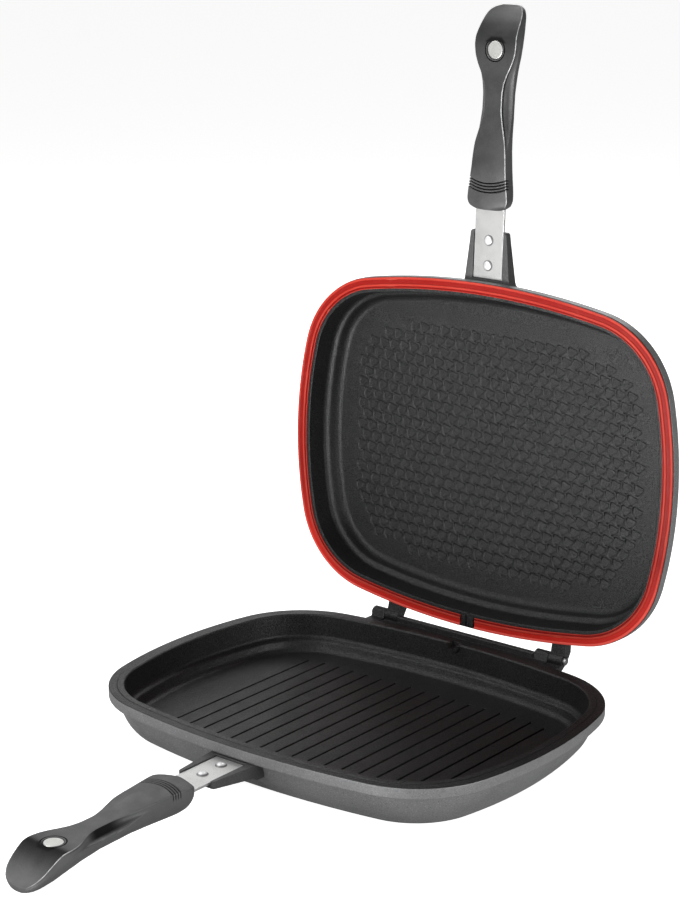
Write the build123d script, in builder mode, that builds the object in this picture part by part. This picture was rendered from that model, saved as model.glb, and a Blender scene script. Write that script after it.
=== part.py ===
from build123d import *
from math import atan2, cos, degrees, radians, sin, sqrt
import os

# Double sided flip pan, standing open on its lower pan.
# Millimetres. +Z up, X along the hinge pins, -Y towards the handles.
# Origin: centre of the lower pan's base, on the surface it stands on.

# ---- pan outline: four bowed sides and four tangent corner arcs -------------
HALF_W = 180.0          # half width of the rim, across the hinge
HALF_D = 140.3          # half depth of the rim, handle side to hinge side
CORNER_X, CORNER_Y = 97.9, 55.9   # centre of a corner arc
CORNER_R = 75.9
SIDE_R = (CORNER_R**2 - (CORNER_X - HALF_W)**2 - CORNER_Y**2) / (2 * (CORNER_X - HALF_W + CORNER_R))
FRONT_R = (CORNER_R**2 - (CORNER_Y - HALF_D)**2 - CORNER_X**2) / (2 * (CORNER_Y - HALF_D + CORNER_R))

# ---- heights ----------------------------------------------------------------
RIM_Z = 36.0            # outer land of the rim above the base
FLOOR_Z = 7.0           # cooking floor above the base
RIDGE = 0.5             # inner ridge above the outer land
FLANGE_H = 9.0          # height of the outer rim band
GROOVE_W, GROOVE_DEPTH, GROOVE_PITCH = 1.6, 2.0, 14.4
FIELD_X, FIELD_Y, FIELD_R = 136.0, 92.0, 38.0   # ribbed field on the floor

# ---- hinge ------------------------------------------------------------------
HINGE_Y, HINGE_Z = 146.7, 38.0
OPEN_DEG = 92.0         # lid turned back from shut
LID_RIM_Z = 38.2        # lid's metal rim when shut
MIRROR_Z = (RIM_Z + LID_RIM_Z) / 2
LID_PIN_Z = 2 * MIRROR_Z - HINGE_Z     # pin height in the lid's own bowl-up frame
KNUCKLE_R = 4.8
PIN_R, PIN_RUN = 2.0, 0.05
PIN_HEAD_R, PIN_HEAD_T = 3.3, 1.8
LOW_KNUCKLES = ((-93.0, -80.3), (67.3, 80.0))
LID_KNUCKLES = ((-80.0, -67.3), (80.3, 93.0))
STOP_Y = 137.5          # stop pads on the lower pan
STOP_GAP = 0.05

# ---- handles ----------------------------------------------------------------
TANG_TOP = 26.3         # tang's upper face on the lower pan
TANG_T, TANG_HALF_W, TANG_TAIL_W = 2.0, 13.3, 10.5
TANG_ROOT_Y, TANG_SHOULDER_Y, TANG_END_Y = -142.5, -203.0, -236.0
BOSS_TIP_Y, BOSS_ROOT_W, BOSS_TIP_W = -179.8, 21.0, 16.6
RIVET_Y = (-152.8, -172.5)
RIVET_R, RIVET_HEAD_R, RIVET_HEAD_H = 2.5, 4.4, 1.9
SPOT_R, SPOT_RISE = 5.0, 0.5
SCREW_Y, SCREW_R, SCREW_HEAD_R = -221.0, 2.0, 3.9
MAGNET_Y, MAGNET_R, MAGNET_T = -318.1, 6.9, 4.0
RING_R, RING_DEPTH = 9.0, 0.7
NOTCH_Y, NOTCH_PITCH, NOTCH_BOW, NOTCH_DEPTH = -210.4, 2.3, 45.0, 0.7
LID_LIFT = 1.9          # the lid's handle sits this much nearer its rim

# ---- gasket -----------------------------------------------------------------
GASKET_OUT, GASKET_IN, GASKET_PROUD = 0.5, 9.7, 1.55
STEM_OUT, STEM_IN, STEM_DEPTH = 2.5, 7.5, 3.0
VENT_HALF = 7.0

os.makedirs("parts", exist_ok=True)


def outline_arcs():
    """Centre x, centre y, radius, start and end angle of the eight arcs."""
    sx, fy = HALF_W - SIDE_R, HALF_D - FRONT_R
    t2 = degrees(atan2(CORNER_Y, CORNER_X - sx))
    t1 = degrees(atan2(CORNER_Y - fy, CORNER_X))
    return [
        (sx, 0, SIDE_R, -t2, t2),
        (CORNER_X, CORNER_Y, CORNER_R, t2, t1),
        (0, fy, FRONT_R, t1, 180 - t1),
        (-CORNER_X, CORNER_Y, CORNER_R, 180 - t1, 180 - t2),
        (-sx, 0, SIDE_R, 180 - t2, 180 + t2),
        (-CORNER_X, -CORNER_Y, CORNER_R, 180 + t2, 180 + t1),
        (0, -fy, FRONT_R, 180 + t1, 360 - t1),
        (CORNER_X, -CORNER_Y, CORNER_R, 360 - t1, 360 - t2),
    ]


def outline_sketch(inset, z):
    """Face bounded by the outline moved inwards by inset."""
    with BuildSketch(Plane.XY.offset(z)) as sk:
        with BuildLine():
            for cx, cy, r, a0, a1 in outline_arcs():
                CenterArc((cx, cy), r - inset, a0, a1 - a0)
        make_face()
    return sk


WALL_IN = 40.0          # the turned section reaches this far in over the floor
INNER = ((12.4, RIM_Z - 0.4), (13.3, 17.0), (17.6, 15.2), (20.4, FLOOR_Z))


LOWER_RIM = (
    (1.8, RIM_Z - FLANGE_H), (0.0, RIM_Z - FLANGE_H + 1.8), (0.0, RIM_Z - 0.7), (0.7, RIM_Z),
    (6.2, RIM_Z), (7.0, RIM_Z + RIDGE), (11.2, RIM_Z + RIDGE),
)
LID_RIM = (
    (1.8, RIM_Z - FLANGE_H), (0.0, RIM_Z - FLANGE_H + 1.8), (0.0, RIM_Z - 0.5), (0.5, RIM_Z),
    (STEM_OUT, RIM_Z), (STEM_OUT, RIM_Z - STEM_DEPTH), (STEM_IN, RIM_Z - STEM_DEPTH),
    (STEM_IN, RIM_Z), (12.0, RIM_Z),
)
GASKET_Z, GASKET_TOP = RIM_Z + 0.05, RIM_Z + GASKET_PROUD - 0.2
GASKET = (
    (STEM_OUT + 0.05, GASKET_Z), (GASKET_OUT, GASKET_Z), (GASKET_OUT, GASKET_TOP - 0.55),
    (GASKET_OUT + 0.9, GASKET_TOP), (3.6, GASKET_TOP), (4.3, GASKET_TOP - 0.9),
    (5.7, GASKET_TOP - 0.9), (6.4, GASKET_TOP), (GASKET_IN - 0.9, GASKET_TOP),
    (GASKET_IN, GASKET_TOP - 0.55), (GASKET_IN, GASKET_Z), (STEM_IN - 0.05, GASKET_Z),
    (STEM_IN - 0.05, GASKET_Z - STEM_DEPTH + 0.1), (STEM_OUT + 0.05, GASKET_Z - STEM_DEPTH + 0.1),
)


def arc_plane(cx, cy, a0):
    """Upright plane through the centre of an outline arc, at its start."""
    return Plane(
        origin=(cx, cy, 0),
        x_dir=(cos(radians(a0)), sin(radians(a0)), 0),
        z_dir=(sin(radians(a0)), -cos(radians(a0)), 0),
    )


def turn_wall(rim):
    """Turn the pan's wall section, with the given rim, round the whole outline."""
    for cx, cy, r, a0, a1 in outline_arcs():
        with BuildSketch(arc_plane(cx, cy, a0)) as wall:
            with BuildLine():
                Polyline((r - 8.0, 26.0), (r - 7.2, RIM_Z - FLANGE_H), *[(r - u, z) for u, z in rim],
                         *[(r - u, z) for u, z in INNER], (r - WALL_IN, FLOOR_Z), (r - WALL_IN, 0.0),
                         (r - 21.5, 0.0))
                ThreePointArc((r - 21.5, 0.0), (r - 11.3, 13.2), (r - 8.0, 26.0))
            make_face()
            for (u, z), radius in zip(INNER[1:], (4.4, 3.0, 7.0)):
                fillet(vertices().sort_by_distance(Vector(r - u, z, 0))[0], radius)
        revolve(wall.sketch, axis=Axis((cx, cy, 0), (0, 0, 1)), revolution_arc=a1 - a0)


def turn_gasket():
    """T section: stem in the groove, head with two lips and a channel."""
    for cx, cy, r, a0, a1 in outline_arcs():
        with BuildSketch(arc_plane(cx, cy, a0)) as ring:
            with BuildLine():
                Polyline(*[(r - u, z) for u, z in GASKET], close=True)
            make_face()
        revolve(ring.sketch, axis=Axis((cx, cy, 0), (0, 0, 1)), revolution_arc=a1 - a0)


def boss_underside(y):
    return 17.6 + 3.9 * (-141 - y) / (-141 - BOSS_TIP_Y)


def handle_boss(lift):
    """Cast fork: a table under the tang between two tapering arms."""
    top = TANG_TOP + 1.0 + lift
    with BuildSketch(Plane.XY.offset(15.5 + lift)) as plan:
        with BuildLine():
            Polyline((-BOSS_ROOT_W, -128), (-BOSS_ROOT_W, -139.5), (-BOSS_TIP_W, BOSS_TIP_Y + 1.3),
                     (-BOSS_TIP_W + 1.3, BOSS_TIP_Y), (BOSS_TIP_W - 1.3, BOSS_TIP_Y),
                     (BOSS_TIP_W, BOSS_TIP_Y + 1.3), (BOSS_ROOT_W, -139.5), (BOSS_ROOT_W, -128), close=True)
        make_face()
    extrude(plan.sketch, amount=top - 15.5 - lift)
    # underside rises towards the tip
    with BuildSketch(Plane.YZ.offset(-30)) as under:
        with BuildLine():
            Polyline((-190, 10), (-190, 21.5 + lift), (BOSS_TIP_Y, 21.5 + lift), (-141, 17.6 + lift),
                     (-139.8, 10), close=True)
        make_face()
    extrude(under.sketch, amount=60, mode=Mode.SUBTRACT)
    # seat for the tang
    with Locations((0, (TANG_ROOT_Y + 0.3 - 190) / 2, TANG_TOP - TANG_T + lift)):
        Box(2 * TANG_HALF_W + 0.4, 190 + TANG_ROOT_Y + 0.3, 12,
            align=(Align.CENTER, Align.CENTER, Align.MIN), mode=Mode.SUBTRACT)
    with Locations(*[(0, y, 22 + lift) for y in RIVET_Y]):
        Cylinder(RIVET_R + 0.05, 30, mode=Mode.SUBTRACT)
    # spot faces for the rivet tails
    with Locations(*[(0, y, boss_underside(y) + SPOT_RISE + lift) for y in RIVET_Y]):
        Cylinder(SPOT_R, 6, align=(Align.CENTER, Align.CENTER, Align.MAX), mode=Mode.SUBTRACT)


# =============================== lower pan ====================================
with BuildPart() as lower_pan:
    turn_wall(LOWER_RIM)
    extrude(outline_sketch(WALL_IN, 0).sketch, amount=FLOOR_Z)
    # grill grooves, cut into the floor and running away from the handle
    n = int((FIELD_X - 8) / GROOVE_PITCH)
    for i in range(-n, n + 1):
        x = i * GROOVE_PITCH
        over = abs(x) - (FIELD_X - FIELD_R)
        half = FIELD_Y if over <= 0 else FIELD_Y - FIELD_R + sqrt(FIELD_R**2 - over**2)
        with Locations((x, 0, FLOOR_Z)):
            Box(GROOVE_W, 2 * half, 2 * GROOVE_DEPTH, mode=Mode.SUBTRACT)
    # rail along the hinge side
    with BuildSketch(Plane.YZ.offset(LID_KNUCKLES[0][1] + 0.8)):
        with BuildLine():
            Polyline((133.5, 29.5), (133.5, 35.8), (141.2, 35.8), (141.2, 39.6), (142.0, 40.4), (145.4, 40.4),
                     (146.2, 39.6), (146.2, 33.5), (142.5, 29.5), close=True)
        make_face()
    extrude(amount=LOW_KNUCKLES[1][0] - LID_KNUCKLES[0][1])
    # hinge knuckles on the left of each pair
    for x0, x1 in LOW_KNUCKLES:
        with BuildSketch(Plane.YZ.offset(x0)):
            with BuildLine():
                Polyline((129, 29.0), (129, 35.8), (142.2, 35.8), (146.7, 38.0), (150.2, 34.8), (144, 29.0), close=True)
            make_face()
            with Locations((HINGE_Y, HINGE_Z)):
                Circle(KNUCKLE_R)
        extrude(amount=x1 - x0)
    # stop pads under the lid's knuckles
    for x0, x1 in LID_KNUCKLES:
        with BuildSketch(Plane.YZ.offset(x0)):
            with BuildLine():
                Polyline((128, 27.5), (128, 35.5), (STOP_Y, 35.5), (STOP_Y, 28.5), (135, 27.0), close=True)
            make_face()
        extrude(amount=x1 - x0)
    handle_boss(0)
    # steam notch through the ridge, with a half ring on the inner wall
    with BuildSketch(Plane.XZ.offset(-(HALF_D - 11.6))):
        with Locations((0, RIM_Z)):
            Circle(7.0)
            Rectangle(20, 12, align=(Align.CENTER, Align.MIN), mode=Mode.SUBTRACT)
    extrude(amount=3.4)
    with BuildSketch(Plane.XZ.offset(-(HALF_D - 5.0))):
        with Locations((0, RIM_Z + 0.6)):
            Circle(4.2)
    extrude(amount=13, mode=Mode.SUBTRACT)
    # bores for the hinge pins
    with BuildSketch(Plane.YZ.offset(LOW_KNUCKLES[0][0] - 1)):
        with Locations((HINGE_Y, HINGE_Z)):
            Circle(PIN_R)
    extrude(amount=15, mode=Mode.SUBTRACT)
    with BuildSketch(Plane.YZ.offset(LOW_KNUCKLES[1][0] + 1.5)):
        with Locations((HINGE_Y, HINGE_Z)):
            Circle(PIN_R)
    extrude(amount=12, mode=Mode.SUBTRACT)

# =============================== upper pan (bowl up, before turning over) ======
with BuildPart() as upper_pan:
    turn_wall(LID_RIM)
    extrude(outline_sketch(WALL_IN, 0).sketch, amount=FLOOR_Z)
    # hinge arms and knuckles on the right of each pair, with a heel that meets the stop pad
    for (x0, x1), clear in zip(LID_KNUCKLES, (134.9, 133.2)):
        with BuildSketch(Plane.YZ.offset(x0)):
            with BuildLine():
                Polyline((129, 27.2), (129, 32.5), (clear, 32.5), (clear, 35.3), (142.5, 36.8), (HINGE_Y, LID_PIN_Z + 1), (151.0, LID_PIN_Z - 2.2),
                         (148.5, 32.0), (141.5, 27.2), close=True)
            make_face()
            with Locations((HINGE_Y, LID_PIN_Z)):
                Circle(KNUCKLE_R)
        extrude(amount=x1 - x0)
    handle_boss(LID_LIFT)
    # vent block in the gasket's gap
    with Locations((0, HALF_D - 5.6, RIM_Z - 3)):
        Box(11.6, 9.6, 3 + 1.35, align=(Align.CENTER, Align.CENTER, Align.MIN))
    with BuildSketch(Plane.XZ.offset(-(HALF_D + 1))):
        with Locations((0, RIM_Z + 1.35)):
            Circle(2.0)
    extrude(amount=16, mode=Mode.SUBTRACT)
    # bores for the hinge pins
    with BuildSketch(Plane.YZ.offset(LID_KNUCKLES[0][0] - 0.5)):
        with Locations((HINGE_Y, LID_PIN_Z)):
            Circle(PIN_R + PIN_RUN)
    extrude(amount=12, mode=Mode.SUBTRACT)
    with BuildSketch(Plane.YZ.offset(LID_KNUCKLES[1][0] - 1)):
        with Locations((HINGE_Y, LID_PIN_Z)):
            Circle(PIN_R + PIN_RUN)
    extrude(amount=16, mode=Mode.SUBTRACT)

# heels, drawn in the open position: y, z from the hinge line
turn = radians(OPEN_DEG)


def shut_point(dy, dz):
    """A point drawn with the lid open, carried to the lid's own bowl-up frame."""
    y = dy * cos(turn) - dz * sin(turn)
    z = dy * sin(turn) + dz * cos(turn)
    return (HINGE_Y + y, 2 * MIRROR_Z - (HINGE_Z + z))


heel_tip = STOP_Y + STOP_GAP - HINGE_Y
with BuildPart() as upper_heels:
    for x0, x1 in LID_KNUCKLES:
        with BuildSketch(Plane.YZ.offset(x0)):
            with BuildLine():
                Polyline(shut_point(-3.6, -2.4), shut_point(heel_tip, -4.2), shut_point(heel_tip, -8.6),
                         shut_point(-5.5, -8.8), shut_point(1.5, -4.2), close=True)
            make_face()
        extrude(amount=x1 - x0)

# =============================== gasket =======================================
with BuildPart() as gasket:
    turn_gasket()
    with Locations((0, HALF_D, RIM_Z)):
        Box(2 * VENT_HALF, 40, 20, mode=Mode.SUBTRACT)


# =============================== handles ======================================
# Sections of the grip along its length. y; half width and depth of the inner
# face; crown (+) or scoop (-) of that face; half width of the back rail, depth
# of its widest line, and height of its rounded back. Depths are below the rim.
GRIP = (
    (-196.6, 11.0, 6.6, 3.4, 11.2, 9.2, 7.4),
    (-197.9, 14.2, 5.8, 3.0, 14.4, 8.5, 11.4),
    (-200.2, 17.2, 5.0, 2.7, 17.4, 7.8, 15.4),
    (-204.6, 18.5, 4.6, 2.5, 18.5, 7.4, 18.0),
    (-211.6, 17.9, 4.4, 2.3, 17.6, 7.3, 19.0),
    (-219.5, 16.9, 4.4, 2.3, 16.5, 7.3, 18.9),
    (-228.0, 16.0, 4.6, 2.5, 15.7, 7.5, 18.4),
    (-238.0, 15.2, 4.9, 2.5, 15.1, 8.0, 17.5),
    (-247.0, 14.1, 5.3, 2.1, 14.8, 9.0, 16.1),
    (-256.0, 11.9, 6.1, 1.2, 14.6, 10.6, 13.9),
    (-265.0, 9.5, 6.9, 0.3, 14.3, 12.4, 12.2),
    (-274.0, 8.1, 7.4, 0.0, 14.0, 13.5, 11.1),
    (-283.0, 8.1, 7.5, 0.0, 14.0, 13.7, 11.1),
    (-292.0, 9.2, 7.5, 0.0, 14.6, 13.4, 12.3),
    (-300.0, 12.1, 7.5, 0.0, 15.8, 12.6, 13.6),
    (-308.0, 15.9, 7.5, 0.0, 17.4, 12.0, 14.7),
    (-315.0, 18.2, 7.5, 0.0, 18.7, 11.9, 15.5),
    (-322.0, 19.0, 7.5, 0.0, 19.2, 12.6, 15.8),
    (-327.0, 18.8, 8.0, -0.2, 19.0, 13.8, 15.6),
    (-331.5, 18.4, 9.8, -1.2, 18.6, 15.4, 14.8),
    (-337.0, 17.8, 13.0, -2.6, 18.0, 17.6, 13.0),
    (-342.5, 16.9, 16.8, -3.0, 17.2, 20.0, 10.8),
    (-347.0, 14.9, 20.2, -2.4, 15.3, 22.4, 8.4),
    (-349.6, 11.7, 23.2, -1.4, 12.2, 24.8, 5.9),
    (-351.3, 7.0, 26.4, -0.5, 7.5, 27.6, 2.9),
)


def grip_points(w, d, crown, rail, dr, b, top):
    """Half a section from the middle of the inner face round to the back."""
    h = dr - d
    half = [
        (0.0, d - crown), (0.35 * w, d - 0.93 * crown), (0.66 * w, d - 0.66 * crown),
        (0.9 * w, d - 0.2 * crown), (w, d + 0.12 * h),
        (w + 0.06 * (rail - w), d + 0.34 * h), (w + 0.24 * (rail - w), d + 0.62 * h),
        (w + 0.66 * (rail - w), d + 0.86 * h), (rail, dr + 0.05 * b),
        (0.97 * rail, dr + 0.3 * b), (0.83 * rail, dr + 0.62 * b), (0.5 * rail, dr + 0.91 * b),
        (0.0, dr + b),
    ]
    right = [(x, top - z) for x, z in half]
    left = [(-x, z) for x, z in right[1:-1]]
    return right + left[::-1]


def grip_part(lift):
    with BuildPart() as grip:
        for y, w, d, crown, rail, dr, b in GRIP:
            with BuildSketch(Plane(origin=(0, y, 0), x_dir=(1, 0, 0), z_dir=(0, -1, 0))):
                with BuildLine():
                    Spline(*grip_points(w, d, crown, rail, dr, b, RIM_Z + lift), periodic=True)
                make_face()
        loft()
        # slot for the tang
        with Locations((0, TANG_SHOULDER_Y + 10, TANG_TOP + lift + 0.05)):
            Box(2 * TANG_HALF_W + 0.1, 20.2, TANG_T + 0.1, align=(Align.CENTER, Align.CENTER, Align.MAX),
                mode=Mode.SUBTRACT)
        with Locations((0, (TANG_END_Y + TANG_SHOULDER_Y) / 2 - 0.1, TANG_TOP + lift + 0.05)):
            Box(2 * TANG_TAIL_W + 0.1, TANG_SHOULDER_Y - TANG_END_Y + 0.3, TANG_T + 0.1,
                align=(Align.CENTER, Align.CENTER, Align.MAX), mode=Mode.SUBTRACT)
        # screw hole and counterbore in the back
        with Locations((0, SCREW_Y, TANG_TOP - TANG_T + lift)):
            Cylinder(SCREW_R + 0.05, 30, align=(Align.CENTER, Align.CENTER, Align.MAX), mode=Mode.SUBTRACT)
        with Locations((0, SCREW_Y, TANG_TOP - 10.0 + lift)):
            Cylinder(SCREW_HEAD_R + 0.1, 30, align=(Align.CENTER, Align.CENTER, Align.MAX), mode=Mode.SUBTRACT)
        # magnet pocket and the ring recess round it
        face = RIM_Z - 7.5 + lift
        with Locations((0, MAGNET_Y, face - RING_DEPTH)):
            Cylinder(RING_R, 4, align=(Align.CENTER, Align.CENTER, Align.MIN), mode=Mode.SUBTRACT)
        with Locations((0, MAGNET_Y, face - MAGNET_T - 0.2)):
            Cylinder(MAGNET_R + 0.05, 8, align=(Align.CENTER, Align.CENTER, Align.MIN), mode=Mode.SUBTRACT)
    # four fine grooves of even depth across the nose, bowed towards the pan
    core = grip.part.translate((0, 0, -NOTCH_DEPTH))
    with BuildPart() as notches:
        for i in range(4):
            with Locations((0, NOTCH_Y - NOTCH_PITCH * i - NOTCH_BOW, RIM_Z - 9.2 + lift)):
                Cylinder(NOTCH_BOW + 0.35, 10, align=(Align.CENTER, Align.CENTER, Align.MIN))
                Cylinder(NOTCH_BOW - 0.35, 10, align=(Align.CENTER, Align.CENTER, Align.MIN), mode=Mode.SUBTRACT)
        with Locations((0, NOTCH_Y - 10, RIM_Z - 9.2 + lift)):
            Box(2 * 17.4, 32, 10, align=(Align.CENTER, Align.CENTER, Align.MIN), mode=Mode.INTERSECT)
        add(core, mode=Mode.SUBTRACT)
    with BuildPart() as cut:
        add(grip.part)
        add(notches.part, mode=Mode.SUBTRACT)
    return cut


def tang_part(lift):
    with BuildPart() as tang:
        with BuildSketch(Plane.XY.offset(TANG_TOP - TANG_T + lift)):
            with BuildLine():
                Polyline((-TANG_HALF_W, TANG_ROOT_Y), (-TANG_HALF_W, TANG_SHOULDER_Y), (-TANG_TAIL_W, TANG_SHOULDER_Y),
                         (-TANG_TAIL_W, TANG_END_Y), (TANG_TAIL_W, TANG_END_Y), (TANG_TAIL_W, TANG_SHOULDER_Y),
                         (TANG_HALF_W, TANG_SHOULDER_Y), (TANG_HALF_W, TANG_ROOT_Y), close=True)
            make_face()
            with Locations(*[(0, y) for y in RIVET_Y]):
                Circle(RIVET_R + 0.05, mode=Mode.SUBTRACT)
            with Locations((0, SCREW_Y)):
                Circle(SCREW_R + 0.05, mode=Mode.SUBTRACT)
        extrude(amount=TANG_T)
    return tang


def rivet_part(lift):
    top = TANG_TOP + lift
    dome = (RIVET_HEAD_R**2 + RIVET_HEAD_H**2) / (2 * RIVET_HEAD_H)
    with BuildPart() as rivets:
        with Locations(*[(0, y, top + RIVET_HEAD_H - dome) for y in RIVET_Y]):
            Sphere(dome)
        with Locations(*[(0, y, top) for y in RIVET_Y]):
            Box(19, 19, 30, align=(Align.CENTER, Align.CENTER, Align.MAX), mode=Mode.SUBTRACT)
        for y in RIVET_Y:
            seat = boss_underside(y) + SPOT_RISE - 0.05 + lift
            with Locations((0, y, seat)):
                Cylinder(RIVET_R, top - seat, align=(Align.CENTER, Align.CENTER, Align.MIN))
                Cylinder(RIVET_HEAD_R - 0.2, 1.5, align=(Align.CENTER, Align.CENTER, Align.MAX))
    return rivets


def screw_part(lift):
    with BuildPart() as screw:
        seat = TANG_TOP - 10.0 + lift
        with Locations((0, SCREW_Y, TANG_TOP - 0.3 + lift)):
            Cylinder(SCREW_R, TANG_TOP - 0.3 + lift - seat, align=(Align.CENTER, Align.CENTER, Align.MAX))
        with Locations((0, SCREW_Y, seat)):
            Cylinder(SCREW_HEAD_R, 2.4, align=(Align.CENTER, Align.CENTER, Align.MAX))
        with Locations((0, SCREW_Y, seat - 2.4)):
            Box(5.4, 0.9, 2.0, mode=Mode.SUBTRACT)
            Box(0.9, 5.4, 2.0, mode=Mode.SUBTRACT)
    return screw


def magnet_part(lift):
    with BuildPart() as magnet:
        with Locations((0, MAGNET_Y, RIM_Z - 7.5 + lift - MAGNET_T - 0.15)):
            Cylinder(MAGNET_R, MAGNET_T, align=(Align.CENTER, Align.CENTER, Align.MIN))
        chamfer(magnet.edges().filter_by(GeomType.CIRCLE).sort_by(Axis.Z)[-1], 0.4)
    return magnet


# =============================== hinge pins ===================================
with BuildPart() as hinge_pin_left:
    with BuildSketch(Plane.YZ.offset(LOW_KNUCKLES[0][0])):
        with Locations((HINGE_Y, HINGE_Z)):
            Circle(PIN_R)
    extrude(amount=LID_KNUCKLES[0][1] - 1.7 - LOW_KNUCKLES[0][0])
    with BuildSketch(Plane.YZ.offset(LOW_KNUCKLES[0][0] - PIN_HEAD_T)):
        with Locations((HINGE_Y, HINGE_Z)):
            Circle(PIN_HEAD_R)
    extrude(amount=PIN_HEAD_T)
    chamfer(hinge_pin_left.edges().filter_by(GeomType.CIRCLE).sort_by(Axis.X)[0], 0.5)

with BuildPart() as hinge_pin_right:
    with BuildSketch(Plane.YZ.offset(LOW_KNUCKLES[1][0] + 1.6)):
        with Locations((HINGE_Y, HINGE_Z)):
            Circle(PIN_R)
    extrude(amount=LID_KNUCKLES[1][1] + 0.3 - LOW_KNUCKLES[1][0] - 1.6)
    with BuildSketch(Plane.YZ.offset(LID_KNUCKLES[1][1] + 0.3)):
        with Locations((HINGE_Y, HINGE_Z)):
            Circle(PIN_HEAD_R)
    extrude(amount=PIN_HEAD_T)
    chamfer(hinge_pin_right.edges().filter_by(GeomType.CIRCLE).sort_by(Axis.X)[-1], 0.5)

# =============================== write everything =============================
hinge_line = Axis((0, HINGE_Y, HINGE_Z), (1, 0, 0))
over = Plane.XY.offset(MIRROR_Z)


def open_lid(shape):
    """Turn a bowl-up piece over on to the lower pan, then open it."""
    return shape.mirror(over).rotate(hinge_line, -OPEN_DEG)


pieces = {
    "lower_pan": lower_pan.part,
    "lower_tang": tang_part(0).part,
    "lower_tang_rivets": rivet_part(0).part,
    "lower_grip": grip_part(0).part,
    "lower_grip_screw": screw_part(0).part,
    "lower_magnet": magnet_part(0).part,
    "hinge_pin_left": hinge_pin_left.part,
    "hinge_pin_right": hinge_pin_right.part,
    "upper_pan": open_lid(upper_pan.part + upper_heels.part),
    "gasket": open_lid(gasket.part),
    "upper_tang": open_lid(tang_part(LID_LIFT).part),
    "upper_tang_rivets": open_lid(rivet_part(LID_LIFT).part),
    "upper_grip": open_lid(grip_part(LID_LIFT).part),
    "upper_grip_screw": open_lid(screw_part(LID_LIFT).part),
    "upper_magnet": open_lid(magnet_part(LID_LIFT).part),
}
for name, shape in pieces.items():
    shape.label = name
    export_step(shape, f"parts/{name}.step")
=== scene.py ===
import math

import bmesh
import bpy
import numpy as np
from mathutils import Matrix, Vector
from mathutils.geometry import delaunay_2d_cdt


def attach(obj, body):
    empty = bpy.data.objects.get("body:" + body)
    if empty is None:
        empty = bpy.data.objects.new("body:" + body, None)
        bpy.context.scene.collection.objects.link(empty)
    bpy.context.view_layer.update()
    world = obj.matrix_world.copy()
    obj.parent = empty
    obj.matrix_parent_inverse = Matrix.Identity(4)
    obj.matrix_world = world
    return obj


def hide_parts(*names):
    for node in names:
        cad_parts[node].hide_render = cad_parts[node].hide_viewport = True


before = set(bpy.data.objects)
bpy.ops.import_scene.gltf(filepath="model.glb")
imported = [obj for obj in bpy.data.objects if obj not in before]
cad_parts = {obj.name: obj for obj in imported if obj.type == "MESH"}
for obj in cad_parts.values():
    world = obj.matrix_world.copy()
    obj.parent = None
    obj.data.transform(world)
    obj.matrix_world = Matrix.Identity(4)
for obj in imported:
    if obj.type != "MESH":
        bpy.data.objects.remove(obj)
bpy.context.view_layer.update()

# Double sided flip pan. Shapes are worked out in millimetres in the bowl-up
# frame of each pan (base at z = 0, +Y to the hinge) and written in metres.

HALF_W, HALF_D = 180.0, 140.3
CORNER_X, CORNER_Y, CORNER_R = 97.9, 55.9, 75.9
SIDE_R = (CORNER_R**2 - (CORNER_X - HALF_W)**2 - CORNER_Y**2) / (2 * (CORNER_X - HALF_W + CORNER_R))
FRONT_R = (CORNER_R**2 - (CORNER_Y - HALF_D)**2 - CORNER_X**2) / (2 * (CORNER_Y - HALF_D + CORNER_R))
RIM_Z, FLOOR_Z = 36.0, 7.0
HINGE_Y, HINGE_Z, OPEN_DEG = 146.7, 38.0, 92.0
MIRROR_Z = 37.1
LID_PIN_Z = 2 * MIRROR_Z - HINGE_Z
LOW_KNUCKLES = ((-93.0, -80.3), (67.3, 80.0))
LID_KNUCKLES = ((-80.0, -67.3), (80.3, 93.0))
KNUCKLE_R = 4.8
TANG_TOP, TANG_T, TANG_HALF_W = 26.3, 2.0, 13.3
FORK_TIP_Y, FORK_ROOT_W, FORK_TIP_W = -179.8, 21.0, 16.6
LID_LIFT = 1.9
RIVET_Y = (-152.8, -172.5)
MAGNET_Y = -318.1
CAP_IN = 30.0

# ------------------------------------------------------------------ materials


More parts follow.
